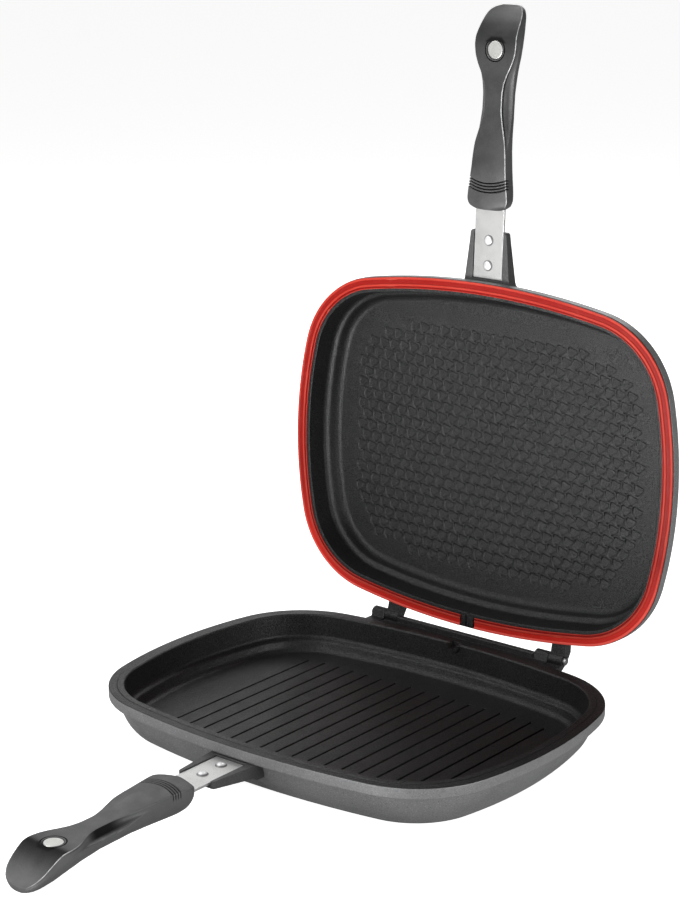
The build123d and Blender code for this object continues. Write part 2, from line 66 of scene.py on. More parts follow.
class Nodes:
    """A small helper for writing shader node trees."""

    def __init__(self, name):
        self.mat = bpy.data.materials.new(name)
        self.mat.use_nodes = True
        self.t = self.mat.node_tree
        self.t.nodes.clear()
        self.out = self.t.nodes.new("ShaderNodeOutputMaterial")
        self.bsdf = self.t.nodes.new("ShaderNodeBsdfPrincipled")
        self.t.links.new(self.bsdf.outputs[0], self.out.inputs[0])
        self.coord = self.t.nodes.new("ShaderNodeTexCoord").outputs["Object"]

    def new(self, kind, **props):
        n = self.t.nodes.new(kind)
        for k, v in props.items():
            setattr(n, k, v)
        return n

    def put(self, socket, value):
        if isinstance(value, bpy.types.NodeSocket):
            self.t.links.new(value, socket)
        else:
            socket.default_value = value

    def set(self, **values):
        for k, v in values.items():
            self.put(self.bsdf.inputs[k.replace("_", " ")], v)

    def stretch(self, scale):
        n = self.new("ShaderNodeMapping")
        self.put(n.inputs["Vector"], self.coord)
        n.inputs["Scale"].default_value = scale
        return n.outputs[0]

    def noise(self, scale, detail=3.0, rough=0.5, vector=None):
        n = self.new("ShaderNodeTexNoise")
        self.put(n.inputs["Vector"], vector or self.coord)
        n.inputs["Scale"].default_value = scale
        n.inputs["Detail"].default_value = detail
        n.inputs["Roughness"].default_value = rough
        return n.outputs["Fac"]

    def voronoi(self, scale, feature="F1"):
        n = self.new("ShaderNodeTexVoronoi", feature=feature)
        self.put(n.inputs["Vector"], self.coord)
        n.inputs["Scale"].default_value = scale
        return n.outputs["Distance"]

    def ramp(self, fac, stops):
        n = self.new("ShaderNodeValToRGB")
        self.put(n.inputs[0], fac)
        e = n.color_ramp.elements
        while len(e) < len(stops):
            e.new(0.5)
        for el, (pos, col) in zip(e, stops):
            el.position = pos
            el.color = (*col, 1) if isinstance(col, tuple) else (col, col, col, 1)
        return n.outputs[0]

    def span(self, fac, a0, a1, b0, b1):
        n = self.new("ShaderNodeMapRange")
        for s, v in zip(n.inputs[:5], (fac, a0, a1, b0, b1)):
            self.put(s, v)
        return n.outputs[0]

    def math(self, op, a, b=0.0):
        n = self.new("ShaderNodeMath", operation=op)
        self.put(n.inputs[0], a)
        self.put(n.inputs[1], b)
        return n.outputs[0]

    def mix(self, fac, a, b, blend="MIX"):
        n = self.new("ShaderNodeMix", data_type="RGBA", blend_type=blend)
        self.put(n.inputs[0], fac)
        self.put(n.inputs[6], a if isinstance(a, bpy.types.NodeSocket) else (*a, 1))
        self.put(n.inputs[7], b if isinstance(b, bpy.types.NodeSocket) else (*b, 1))
        return n.outputs[2]

    def edges(self, lo=0.53, hi=0.62):
        n = self.new("ShaderNodeNewGeometry")
        return self.span(n.outputs["Pointiness"], lo, hi, 0.0, 1.0)

    def bump(self, *layers):
        """Layers of (height, strength, distance in metres)."""
        normal = None
        for height, strength, distance in layers:
            n = self.new("ShaderNodeBump")
            n.inputs["Strength"].default_value = strength
            n.inputs["Distance"].default_value = distance
            self.put(n.inputs["Height"], height)
            if normal is not None:
                self.put(n.inputs["Normal"], normal)
            normal = n.outputs[0]
        self.put(self.bsdf.inputs["Normal"], normal)


def cast_outside(name, low, high):
    """Sprayed heat-resistant paint over die-cast aluminium: grey, faintly metallic, fine orange peel."""
    m = Nodes(name)
    broad = m.noise(9.0, 4.0, 0.6)
    fleck = m.noise(1150.0, 2.0, 0.75)
    col = m.mix(m.span(broad, 0.3, 0.7, 0.0, 1.0), low, high)
    col = m.mix(m.span(fleck, 0.53, 0.70, 0.0, 0.5), col, tuple(min(1.0, c * 1.9) for c in high))
    pore = m.noise(900.0, 2.0, 0.75, m.stretch((1.0, 1.0, 1.3)))
    col = m.mix(m.span(pore, 0.54, 0.7, 0.0, 0.6), col, tuple(c * 0.35 for c in low))
    smudge = m.noise(28.0, 5.0, 0.65, m.stretch((1.0, 1.0, 2.4)))
    col = m.mix(m.span(smudge, 0.56, 0.75, 0.0, 0.3), col, tuple(c * 0.55 for c in low))
    # painted highlight: sharp convex edges made lighter, where light catches them
    col = m.mix(m.math("MULTIPLY", m.edges(0.54, 0.66), 0.35), col, tuple(min(1.0, c * 1.7) for c in high))
    m.set(Base_Color=col, Metallic=0.35, Roughness=m.span(m.noise(60.0, 4.0), 0.3, 0.7, 0.4, 0.56))
    m.bump((m.noise(700.0, 3.0, 0.65), 0.55, 0.0003), (m.voronoi(1500.0), 0.2, 0.00012))
    return m.mat


def nonstick(name, base=0.0065):
    """Black PTFE coating: near black, low sheen, sprayed speckle."""
    m = Nodes(name)
    broad = m.noise(7.0, 3.0, 0.5)
    col = m.mix(m.span(broad, 0.35, 0.7, 0.0, 1.0), (base, base, base * 1.04), (base * 1.7, base * 1.7, base * 1.72))
    speck = m.noise(1050.0, 2.0, 0.75)
    col = m.mix(m.span(speck, 0.5, 0.68, 0.0, 0.8), col, (0.028, 0.028, 0.029))
    # painted shade: the foot of the lid's pattern cells darkened to near black, with less reflection
    sunk = m.new("ShaderNodeAttribute", attribute_name="shade_zone").outputs["Fac"]
    col = m.mix(m.math("MULTIPLY", sunk, 0.8), col, (0.001, 0.001, 0.001))
    m.set(Base_Color=col, Roughness=m.span(m.noise(45.0, 4.0), 0.3, 0.7, 0.36, 0.46))
    shine = m.span(m.noise(1300.0, 2.0, 0.8), 0.35, 0.65, 0.06, 0.62)
    m.put(m.bsdf.inputs["Specular IOR Level"], m.math("MULTIPLY", shine, m.span(sunk, 0.0, 1.0, 1.0, 0.35)))
    m.bump((m.noise(800.0, 3.0, 0.7), 0.85, 0.00042), (m.voronoi(1500.0), 0.3, 0.00015))
    return m.mat


def bakelite(name):
    """Moulded phenolic: charcoal, matt, with a faint mineral mottle; edges and the face's edge line carry a painted
    highlight, and vertex weights paint shade and light.
    """
    m = Nodes(name)
    broad = m.noise(38.0, 5.0, 0.6)
    col = m.mix(m.span(broad, 0.3, 0.72, 0.0, 1.0), (0.038, 0.038, 0.039), (0.072, 0.072, 0.073))
    fine = m.noise(1500.0, 3.0, 0.7)
    col = m.mix(m.span(fine, 0.5, 0.75, 0.0, 0.35), col, (0.15, 0.15, 0.15))
    flow = m.noise(90.0, 4.0, 0.6, m.stretch((1.0, 0.16, 1.0)))
    col = m.mix(m.span(flow, 0.5, 0.75, 0.0, 0.35), col, (0.022, 0.022, 0.023))
    # painted shade where the weight is above zero, painted light (paler) where it is below zero
    painted_shading = m.new("ShaderNodeAttribute", attribute_name="painted_shading").outputs["Fac"]
    col = m.mix(m.span(painted_shading, 0.0, 1.2, 0.0, 1.0), col, (0.002, 0.002, 0.002))
    col = m.mix(m.span(painted_shading, 0.0, -1.0, 0.0, 0.62), col, (0.150, 0.150, 0.152))
    # painted highlight: sharp convex edges made lighter, where light catches them
    col = m.mix(m.math("MULTIPLY", m.edges(0.53, 0.6), 0.35), col, (0.20, 0.20, 0.20))
    # painted shade: near black in the grooves, in a line under the face's edge and at the foot of the magnet ring
    recess_shade = m.new("ShaderNodeAttribute", attribute_name="shade_zone").outputs["Fac"]
    col = m.mix(m.math("MINIMUM", recess_shade, 1.0), col, (0.002, 0.002, 0.002))
    # painted highlight along the face's edge line, broken up by noise
    painted_edge_highlight = m.new("ShaderNodeAttribute", attribute_name="painted_edge_highlight").outputs["Fac"]
    col = m.mix(m.math("MULTIPLY", painted_edge_highlight, m.span(m.noise(260.0, 3.0), 0.3, 0.6, 0.45, 1.0)), col, (0.55, 0.55, 0.55))
    m.set(Base_Color=col, Roughness=m.span(m.noise(120.0, 4.0), 0.3, 0.7, 0.42, 0.56))
    # reflection dimmed where painted shade is
    m.put(m.bsdf.inputs["Specular IOR Level"], m.span(m.math("MAXIMUM", painted_shading, recess_shade), 0.0, 1.0, 0.5, 0.04))
    m.bump((m.noise(420.0, 4.0, 0.6), 0.22, 0.0003), (m.noise(2600.0, 2.0, 0.6), 0.14, 0.0001))
    return m.mat


def steel(name, colour, rough, lines=(1.0, 1.0, 1.0), bump=0.08, dark=0.65, metal=1.0):
    """Bare metal with a drawn or tumbled finish."""
    m = Nodes(name)
    grain = m.noise(900.0, 4.0, 0.6, m.stretch(lines))
    broad = m.noise(50.0, 4.0, 0.6)
    col = m.mix(m.span(broad, 0.35, 0.75, 0.0, 0.5), colour, tuple(c * dark for c in colour))
    col = m.mix(m.span(grain, 0.5, 0.8, 0.0, 0.4), col, tuple(c * 0.8 for c in colour))
    m.set(Base_Color=col, Metallic=metal, Roughness=m.span(grain, 0.3, 0.7, rough - 0.05, rough + 0.1))
    m.bump((grain, bump, 0.00008), (m.noise(300.0, 3.0), bump, 0.0001))
    return m.mat


def silicone(name):
    """Red food-grade silicone: satin, a little translucent, dusty; painted shade makes the channel and foot a darker
    red and the small groove by the outer lip near black, and edges get a painted highlight.
    """
    m = Nodes(name)
    shade_zone = m.new("ShaderNodeAttribute", attribute_name="shade_zone").outputs["Fac"]
    lip = m.mix(m.span(m.noise(16.0, 4.0, 0.6), 0.3, 0.7, 0.0, 1.0), (0.42, 0.028, 0.017), (0.52, 0.056, 0.036))
    # painted shade: darker red in the channel and under the head, lips keep the lighter red
    col = m.mix(m.math("MAXIMUM", shade_zone, 0.0), (0.235, 0.003, 0.002), lip)
    # painted shade: near black in the small groove by the outer lip
    col = m.mix(m.span(shade_zone, 0.0, -1.0, 0.0, 1.0), col, (0.015, 0.001, 0.001))
    lit = m.new("ShaderNodeAttribute", attribute_name="lit").outputs["Fac"]
    lighter = m.mix(m.math("MAXIMUM", shade_zone, 0.0), (0.50, 0.009, 0.004), (0.78, 0.095, 0.07))
    col = m.mix(lit, col, lighter)
    dust = m.noise(240.0, 5.0, 0.7, m.stretch((1.0, 1.0, 1.0)))
    col = m.mix(m.span(dust, 0.55, 0.8, 0.0, 0.14), col, (0.62, 0.16, 0.11))
    # painted highlight: sharp convex edges made lighter
    col = m.mix(m.math("MULTIPLY", m.edges(0.54, 0.62), 0.35), col, (0.72, 0.20, 0.14))
    m.set(Base_Color=col, Roughness=m.span(m.noise(80.0, 4.0), 0.3, 0.7, 0.34, 0.5))
    m.bsdf.inputs["Specular IOR Level"].default_value = 0.16
    m.bsdf.inputs["Subsurface Weight"].default_value = 0.08
    m.bsdf.inputs["Subsurface Radius"].default_value = (0.003, 0.0008, 0.0005)
    m.bsdf.inputs["Subsurface Scale"].default_value = 0.5
    m.bump((m.noise(500.0, 3.0, 0.6), 0.15, 0.0002))
    return m.mat


GREY = cast_outside("cast_grey_outside", (0.165, 0.165, 0.167), (0.250, 0.250, 0.253))
FORK = cast_outside("cast_dark_fork", (0.045, 0.045, 0.046), (0.075, 0.075, 0.076))
BLACK = nonstick("nonstick_black")
HINGE = nonstick("hinge_black", 0.008)
RED = silicone("gasket_red")
GRIP = bakelite("grip_bakelite_charcoal")
TANG = steel("tang_polished_steel", (0.79, 0.79, 0.78), 0.30, (6.0, 0.5, 6.0), bump=0.2)
RIVET = steel("rivet_bright_metal", (0.82, 0.82, 0.82), 0.36, metal=0.5, bump=0.2)
# painted shade: a darker copy of the rivet metal for the rim of each dome
RIVET_RIM_SHADE = steel("rivet_rim_painted_shade", (0.30, 0.30, 0.30), 0.42, metal=0.6)
MAGNET = steel("magnet_nickel", (0.55, 0.55, 0.53), 0.42, (1.0, 1.0, 1.0), 0.5)
SCREW = steel("screw_steel", (0.55, 0.55, 0.55), 0.3)
PIN = steel("pin_steel", (0.22, 0.22, 0.225), 0.34)

# ---------------------------------------------------------------- mesh helpers


def lid_place(points):
    """Bowl-up millimetres to the open lid: turned over on to the lower pan, then swung back."""
    p = np.array(points, float).reshape(-1, 3)
    z = 2 * MIRROR_Z - p[:, 2]
    a = math.radians(-OPEN_DEG)
    dy, dz = p[:, 1] - HINGE_Y, z - HINGE_Z
    return np.stack([p[:, 0], HINGE_Y + dy * math.cos(a) - dz * math.sin(a),
                     HINGE_Z + dy * math.sin(a) + dz * math.cos(a)], 1)


def raw_object(name, verts, faces, mats=(), index=None):
    me = bpy.data.meshes.new(name)
    me.from_pydata([tuple(v) for v in verts], [], [tuple(int(i) for i in f) for f in faces])
    for m in mats:
        me.materials.append(m)
    if index is not None:
        me.polygons.foreach_set("material_index", np.array(index, np.int32))
    me.update()
    o = bpy.data.objects.new(name, me)
    bpy.context.scene.collection.objects.link(o)
    return o


def bake_modifiers(o):
    """Replace o's mesh with the result of its modifiers."""
    dg = bpy.context.evaluated_depsgraph_get()
    me = bpy.data.meshes.new_from_object(o.evaluated_get(dg), preserve_all_data_layers=True, depsgraph=dg)
    old = o.data
    o.modifiers.clear()
    o.data = me
    bpy.data.meshes.remove(old)
    return o


def bevel(o, width, segments=3, angle=30):
    b = o.modifiers.new("bevel", "BEVEL")
    b.width, b.segments, b.limit_method, b.angle_limit = width, segments, "ANGLE", math.radians(angle)
    b.harden_normals = False
    return bake_modifiers(o)


def combine(o, tool, operation):
    b = o.modifiers.new("bool", "BOOLEAN")
    b.operation, b.object, b.solver = operation, tool, "EXACT"
    bpy.context.view_layer.update()
    bake_modifiers(o)
    bpy.data.objects.remove(tool)
    return o


def prism(name, outline, plane, lo, hi, mats=(), slot=0):
    """Closed prism: a 2-D outline in plane 'yz' (along x) or 'xy' (along z) or 'xz' (along y)."""
    n = len(outline)
    put = {"yz": lambda a, b, c: (c, a, b), "xy": lambda a, b, c: (a, b, c), "xz": lambda a, b, c: (a, c, b)}[plane]
    verts = [put(a, b, lo) for a, b in outline] + [put(a, b, hi) for a, b in outline]
    faces = [tuple(range(n))[::-1], tuple(range(n, 2 * n))]
    faces += [(i, (i + 1) % n, n + (i + 1) % n, n + i) for i in range(n)]
    o = raw_object(name, verts, faces, mats, [slot] * len(faces))
    bm = bmesh.new()
    bm.from_mesh(o.data)
    bmesh.ops.recalc_face_normals(bm, faces=bm.faces)
    bm.to_mesh(o.data)
    bm.free()
    return o


def round_prism(name, radius, centre, plane, lo, hi, mats=(), slot=0, n=48):
    return prism(name, [(centre[0] + radius * math.cos(2 * math.pi * (i + 0.37) / n),
                         centre[1] + radius * math.sin(2 * math.pi * (i + 0.37) / n)) for i in range(n)],
                 plane, lo, hi, mats, slot)


def finish_piece(o, body, lid=False, angle=32, weighted=True, replaces=()):
    """Carry the mesh to the row frame in metres, set its shading, and let it ride."""
    me = o.data
    co = np.zeros(len(me.vertices) * 3)
    me.vertices.foreach_get("co", co)
    co = co.reshape(-1, 3)
    if lid:
        co = lid_place(co)
    me.vertices.foreach_set("co", (co * 0.001).ravel())
    bm = bmesh.new()
    bm.from_mesh(me)
    if lid:
        bmesh.ops.reverse_faces(bm, faces=bm.faces)
    limit = math.radians(angle)
    for f in bm.faces:
        f.smooth = True
    for e in bm.edges:
        e.smooth = len(e.link_faces) == 2 and e.calc_face_angle(3.2) < limit
    bm.to_mesh(me)
    bm.free()
    me.update()
    if weighted:
        w = o.modifiers.new("normals", "WEIGHTED_NORMAL")
        w.keep_sharp = True
        w.weight = 50
    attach(o, body)
    if replaces:
        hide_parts(*replaces)
    return o


def arc3(a, b, c, n):
    """Points of the arc a-b-c, ends included."""
    a, b, c = (np.array(p, float) for p in (a, b, c))
    m = np.array([b - a, c - a]) * 2
    centre = np.linalg.solve(m, np.array([b @ b - a @ a, c @ c - a @ a]))
    r = np.linalg.norm(a - centre)
    t0, t1, t2 = (math.atan2(*(p - centre)[::-1]) for p in (a, b, c))
    while t1 - t0 > math.pi: t1 -= 2 * math.pi
    while t1 - t0 < -math.pi: t1 += 2 * math.pi
    while t2 - t1 > math.pi: t2 -= 2 * math.pi
    while t2 - t1 < -math.pi: t2 += 2 * math.pi
    return [(centre[0] + r * math.cos(t), centre[1] + r * math.sin(t)) for t in np.linspace(t0, t2, n)]


def soften(path, radii, seg=5, closed=False):
    """Round the corners of a 2-D path. radii is one number per point; 0 leaves the corner."""
    out, n = [], len(path)
    for i, (p, r) in enumerate(zip(path, radii)):
        if r <= 0 or (not closed and i in (0, n - 1)):
            out.append(tuple(p))
            continue
        p = np.array(p, float)
        a, b = np.array(path[(i - 1) % n], float) - p, np.array(path[(i + 1) % n], float) - p
        la, lb = np.linalg.norm(a), np.linalg.norm(b)
        a, b = a / la, b / lb
        half = math.acos(max(-1, min(1, a @ b))) / 2
        if half > math.pi / 2 - 0.02:
            out.append(tuple(p))
            continue
        d = min(r / math.tan(half), 0.49 * la, 0.49 * lb)
        r = d * math.tan(half)
        centre = p + (a + b) / np.linalg.norm(a + b) * r / math.sin(half)
        s, e = p + a * d - centre, p + b * d - centre
        t0, t1 = math.atan2(s[1], s[0]), math.atan2(e[1], e[0])
        while t1 - t0 > math.pi: t1 -= 2 * math.pi
        while t1 - t0 < -math.pi: t1 += 2 * math.pi
        k = max(2, int(round(seg * abs(t1 - t0) / (math.pi / 2))) + 1)
        out += [(centre[0] + r * math.cos(t), centre[1] + r * math.sin(t)) for t in np.linspace(t0, t1, k + 1)]
    return out


# ------------------------------------------------------------ outline and rings


def outline_columns(density=1.0):
    """Centre, radius and direction of each column round the outline, counter-clockwise from -Y of the right side."""
    sx, fy = HALF_W - SIDE_R, HALF_D - FRONT_R
    t2 = math.atan2(CORNER_Y, CORNER_X - sx)
    t1 = math.atan2(CORNER_Y - fy, CORNER_X)
    pi = math.pi
    arcs = [(sx, 0, SIDE_R, -t2, t2, 20), (CORNER_X, CORNER_Y, CORNER_R, t2, t1, 26),
            (0, fy, FRONT_R, t1, pi - t1, 34), (-CORNER_X, CORNER_Y, CORNER_R, pi - t1, pi - t2, 26),
            (-sx, 0, SIDE_R, pi - t2, pi + t2, 20), (-CORNER_X, -CORNER_Y, CORNER_R, pi + t2, pi + t1, 26),
            (0, -fy, FRONT_R, pi + t1, 2 * pi - t1, 34), (CORNER_X, -CORNER_Y, CORNER_R, 2 * pi - t1, 2 * pi - t2, 26)]
    cols = []
    for cx, cy, r, a0, a1, n in arcs:
        n = max(2, int(n * density))
        for k in range(n):
            a = a0 + (a1 - a0) * k / n
            cols.append((cx, cy, r, math.cos(a), math.sin(a)))
    return np.array(cols)


COLS = outline_columns()


def at_inset(cols, u):
    return np.stack([cols[:, 0] + (cols[:, 2] - u) * cols[:, 3], cols[:, 1] + (cols[:, 2] - u) * cols[:, 4]], 1)


def ring_mesh(cols, profile, closed_profile, closed_ring=True):
    """Sweep a profile of (inset, height) round the columns. Returns vertices and faces."""
    m, n = len(profile), len(cols)
    verts = np.zeros((n, m, 3))
    for j, (u, z) in enumerate(profile):
        verts[:, j, :2] = at_inset(cols, u)
        verts[:, j, 2] = z
    faces = []
    for i in range(n if closed_ring else n - 1):
        i2 = (i + 1) % n
        for j in range(m if closed_profile else m - 1):
            j2 = (j + 1) % m
            faces.append((i * m + j, i2 * m + j, i2 * m + j2, i * m + j2))
    return verts.reshape(-1, 3), faces


WALL = arc3((21.5, 0.0), (11.3, 13.2), (8.0, 26.0), 14)
INSIDE = [(12.4, 35.6), (13.3, 17.0), (17.6, 15.2), (20.4, 7.0)]


def pan_profile(rim, rim_radii):
    """Section from the middle of the base round the outside to the middle of the floor."""
    base = soften([(CAP_IN, 0.0), (21.5, 0.0), WALL[2]], [0, 3.5, 0], 6)[:-1]
    outer = base + list(WALL[2:])
    mid = soften([(8.0, 26.0), (7.2, 27.0)] + rim + INSIDE + [(CAP_IN, FLOOR_Z)],
                 [0, 0.8] + rim_radii + [1.1, 4.4, 3.0, 7.0, 0], 9)
    return outer + mid[1:]


LOW_RIM = [(0.9, 27.0), (0.0, 28.0), (0.0, 36.0), (6.1, 36.0), (6.9, 36.5), (11.2, 36.5)]
LOW_PROFILE = pan_profile(LOW_RIM, [0.9, 1.3, 0.9, 0.5, 0.4, 0.7])
LID_RIM = [(0.9, 27.0), (0.0, 28.0), (0.0, 36.0), (2.5, 36.0), (2.5, 33.0), (7.5, 33.0), (7.5, 36.0), (11.9, 36.0)]
LID_PROFILE = pan_profile(LID_RIM, [0.9, 1.3, 0.9, 0.2, 0.2, 0.2, 0.2, 0.8])


def pan_shell(name, profile, mats):
    verts, faces = ring_mesh(COLS, profile, False)
    m, n = len(profile), len(COLS)
    top = next(j for j, (u, z) in enumerate(profile) if z > 35.55 and u < 1.2)
    index = [1 if (k % (m - 1)) >= top else 0 for k in range(len(faces))]
    faces.append(tuple(i * m for i in range(n))[::-1])
    index.append(0)
    faces.append(tuple(i * m + m - 1 for i in range(n)))
    index.append(1)
    o = raw_object(name, verts, faces, mats, index)
    bm = bmesh.new()
    bm.from_mesh(o.data)
    bmesh.ops.recalc_face_normals(bm, faces=bm.faces)
    bm.to_mesh(o.data)
    bm.free()
    return o


def resample(loop, n):
    """n points at even spacing along a closed 2-D loop."""
    p = np.array(loop + [loop[0]], float)
    s = np.concatenate([[0], np.cumsum(np.linalg.norm(np.diff(p, axis=0), axis=1))])
    t = np.arange(n) * s[-1] / n
    return np.stack([np.interp(t, s, p[:, 0]), np.interp(t, s, p[:, 1])], 1)


def smooth_loop(loop, n, rounds=2):
    """Closed loop through Chaikin corner cutting, resampled to n points."""
    p = [tuple(q) for q in loop]
    for _ in range(rounds):
        q = []
        for a, b in zip(p, p[1:] + p[:1]):
            q.append((0.75 * a[0] + 0.25 * b[0], 0.75 * a[1] + 0.25 * b[1]))
            q.append((0.25 * a[0] + 0.75 * b[0], 0.25 * a[1] + 0.75 * b[1]))
        p = q
    return resample(p, n)


def offset_loop(loop, d):
    """Move a counter-clockwise loop outwards by d."""
    a, b = np.roll(loop, 1, 0), np.roll(loop, -1, 0)
    t = b - a
    t /= np.linalg.norm(t, axis=1)[:, None]
    return loop + d * np.stack([t[:, 1], -t[:, 0]], 1)


def triangulate(points, edges):
    v, e, f, *_ = delaunay_2d_cdt([Vector(p) for p in points], edges, [], 0, 1e-6)
    return v, f


def inside(poly, c):
    """True if point c lies in the closed 2-D polygon."""
    a, b = poly, np.roll(poly, -1, 0)
    cross = (a[:, 1] > c[1]) != (b[:, 1] > c[1])
    a, b = a[cross], b[cross]
    return bool(np.sum(c[0] < (b[:, 0] - a[:, 0]) * (c[1] - a[:, 1]) / (b[:, 1] - a[:, 1]) + a[:, 0]) % 2)


def patterned_floor(boundary, shapes, levels, z0, guard=(), share=None):
    """Floor patch with sunk shapes. shapes are lists of loops, from the outer edge inwards; levels their heights.
    Returns vertices (boundary first) and triangles or quads, facing up."""
    boundary = np.array(boundary)
    pts = [tuple(p) for p in boundary]
    nb = len(pts)
    edges = [(i, (i + 1) % nb) for i in range(nb)]
    starts = []
    for loops in shapes:
        s = len(pts)
        starts.append(s)
        n = len(loops[0])
        pts += [tuple(p) for p in loops[0]]
        edges += [(s + i, s + (i + 1) % n) for i in range(n)]
    pts += [tuple(p) for p in guard]
    v, e, f, ov, oe, of_ = delaunay_2d_cdt([Vector(p) for p in pts], edges, [], 0, 1e-7)
    # keep the numbering of the input points
    back = {}
    for k, orig in enumerate(ov):
        for q in orig:
            back[q] = k
    verts = [(p[0], p[1], z0) for p in v]
    owner = {}
    for s, loops in zip(starts, shapes):
        for i in range(len(loops[0])):
            owner[back[s + i]] = s
    outer = {s: np.array(loops[0]) for s, loops in zip(starts, shapes)}
    faces = []
    for tri in f:
        o = {owner.get(i) for i in tri}
        if len(o) == 1 and None not in o and inside(outer[next(iter(o))], np.mean([tuple(v[i]) for i in tri], axis=0)):
            continue          # inside one sunk shape
        faces.append(tuple(tri))
    cache = {}
    for s, loops in zip(starts, shapes):
        n = len(loops[0])
        ring = [back[s + i] for i in range(n)]
        for loop, z in zip(loops[1:], levels[1:]):
            k = len(verts)
            verts += [(p[0], p[1], z if share is None else z0 - (z0 - z) * share(p[1])) for p in loop]
            new = list(range(k, k + n))
            for i in range(n):
                j = (i + 1) % n
                faces.append((ring[i], ring[j], new[j], new[i]))
            ring = new
        key = n, round(loops[-1][:, 0].max() - loops[-1][:, 0].min(), 4), round(loops[-1][:, 1].max() - loops[-1][:, 1].min(), 4)
        if key not in cache:
            w, g = triangulate([tuple(p - loops[-1][0]) for p in loops[-1]], [(i, (i + 1) % n) for i in range(n)])
            poly = loops[-1] - loops[-1][0]
            keep = []
            for tri in g:
                if inside(poly, np.mean([poly[i] for i in tri], axis=0)):
                    keep.append(tuple(tri))
            cache[key] = keep
        faces += [tuple(ring[i] for i in tri) for tri in cache[key]]
    return [tuple(p) for p in verts], faces, [back[i] for i in range(nb)]


def fit_floor(o, verts, faces, slot):
    """Swap the plain floor cap of a pan for a patterned patch with the same boundary."""
    bm = bmesh.new()
    bm.from_mesh(o.data)
    cap = max((f for f in bm.faces if f.normal.z > 0.99 and abs(f.calc_center_median().z - FLOOR_Z) < 0.01),
              key=lambda f: f.calc_area())
    bmesh.ops.delete(bm, geom=[cap], context="FACES_ONLY")
    new = [bm.verts.new(v) for v in verts]
    bm.verts.index_update()
    for f in faces:
        try:
            g = bm.faces.new([new[i] for i in f])
        except ValueError:
            continue
        g.material_index = slot
        g.normal_update()
        if g.normal.z < 0:
            g.normal_flip()
    near = [v for v in bm.verts if abs(v.co.z - FLOOR_Z) < 0.01 and any(e.is_boundary for e in v.link_edges)]
    bmesh.ops.remove_doubles(bm, verts=near, dist=0.01)
    bm.to_mesh(o.data)
    bm.free()
    o.data.update()


def mark_foot_shade(o, lo, hi):
    """Vertex weight for painted shade at the foot of the floor's pattern, between two heights: strong along the wavy
    side of each cell.
    """
    co = np.zeros(len(o.data.vertices) * 3)
    o.data.vertices.foreach_get("co", co)
    co = co.reshape(-1, 3)
    hit = (co[:, 2] > lo) & (co[:, 2] < hi) & (np.abs(co[:, 0]) < 150) & (np.abs(co[:, 1]) < 112)
    up = np.mod(co[:, 1] - 3.72 + 1.5, CELL_Y) - 1.5
    shade_zone = o.data.attributes.get("shade_zone") or o.data.attributes.new("shade_zone", "FLOAT", "POINT")
    shade_zone.data.foreach_set("value", (hit * np.clip((2.6 - up) / 1.4, 0.0, 1.0)).astype(np.float32))


def open_edges(o):
    bm = bmesh.new()
    bm.from_mesh(o.data)
    n = sum(1 for e in bm.edges if len(e.link_faces) != 2)
    bm.free()
    return n


# -------------------------------------------------------------------- pan parts


def fork(lift, mats):
    """Cast handle fork: two tapering arms with a seat for the tang between them."""
    top, seat = TANG_TOP + 1 + lift, TANG_TOP - TANG_T + lift
    r, t, y = FORK_ROOT_W, FORK_TIP_W, FORK_TIP_Y
    plan = [(-r, -130), (-r, -139.8), (-t, y + 1.2), (1.2 - t, y), (t - 1.2, y), (t, y + 1.2), (r, -139.8), (r, -130)]
    o = prism("fork_tmp", plan, "xy", 15.5 + lift, top, mats, 2)
    under = prism("fork_under", [(-190, 8), (-190, 21.5 + lift), (y, 21.5 + lift), (-141, 17.6 + lift),
                                 (-138.5, 16.5 + lift), (-138.5, 8)], "yz", -30, 30, mats, 2)
    combine(o, under, "DIFFERENCE")
    cut = prism("fork_seat", [(-13.6, -190), (13.6, -190), (13.6, -142.1), (-13.6, -142.1)], "xy", seat, top + 10, mats, 2)
    combine(o, cut, "DIFFERENCE")
    return bevel(o, 0.9, 3, 25)


def knuckle_low(x0, x1, mats):
    a = [(HINGE_Y + KNUCKLE_R * math.cos(t), HINGE_Z + KNUCKLE_R * math.sin(t))
         for t in np.linspace(math.radians(-50), math.radians(140), 22)]
    pts = [(129, 29.0), (144, 29.0)] + a + [(141.2, 35.8), (129, 35.8)]
    return bevel(prism("knuckle_tmp", pts, "yz", x0, x1, mats, 3), 0.45, 2, 40)


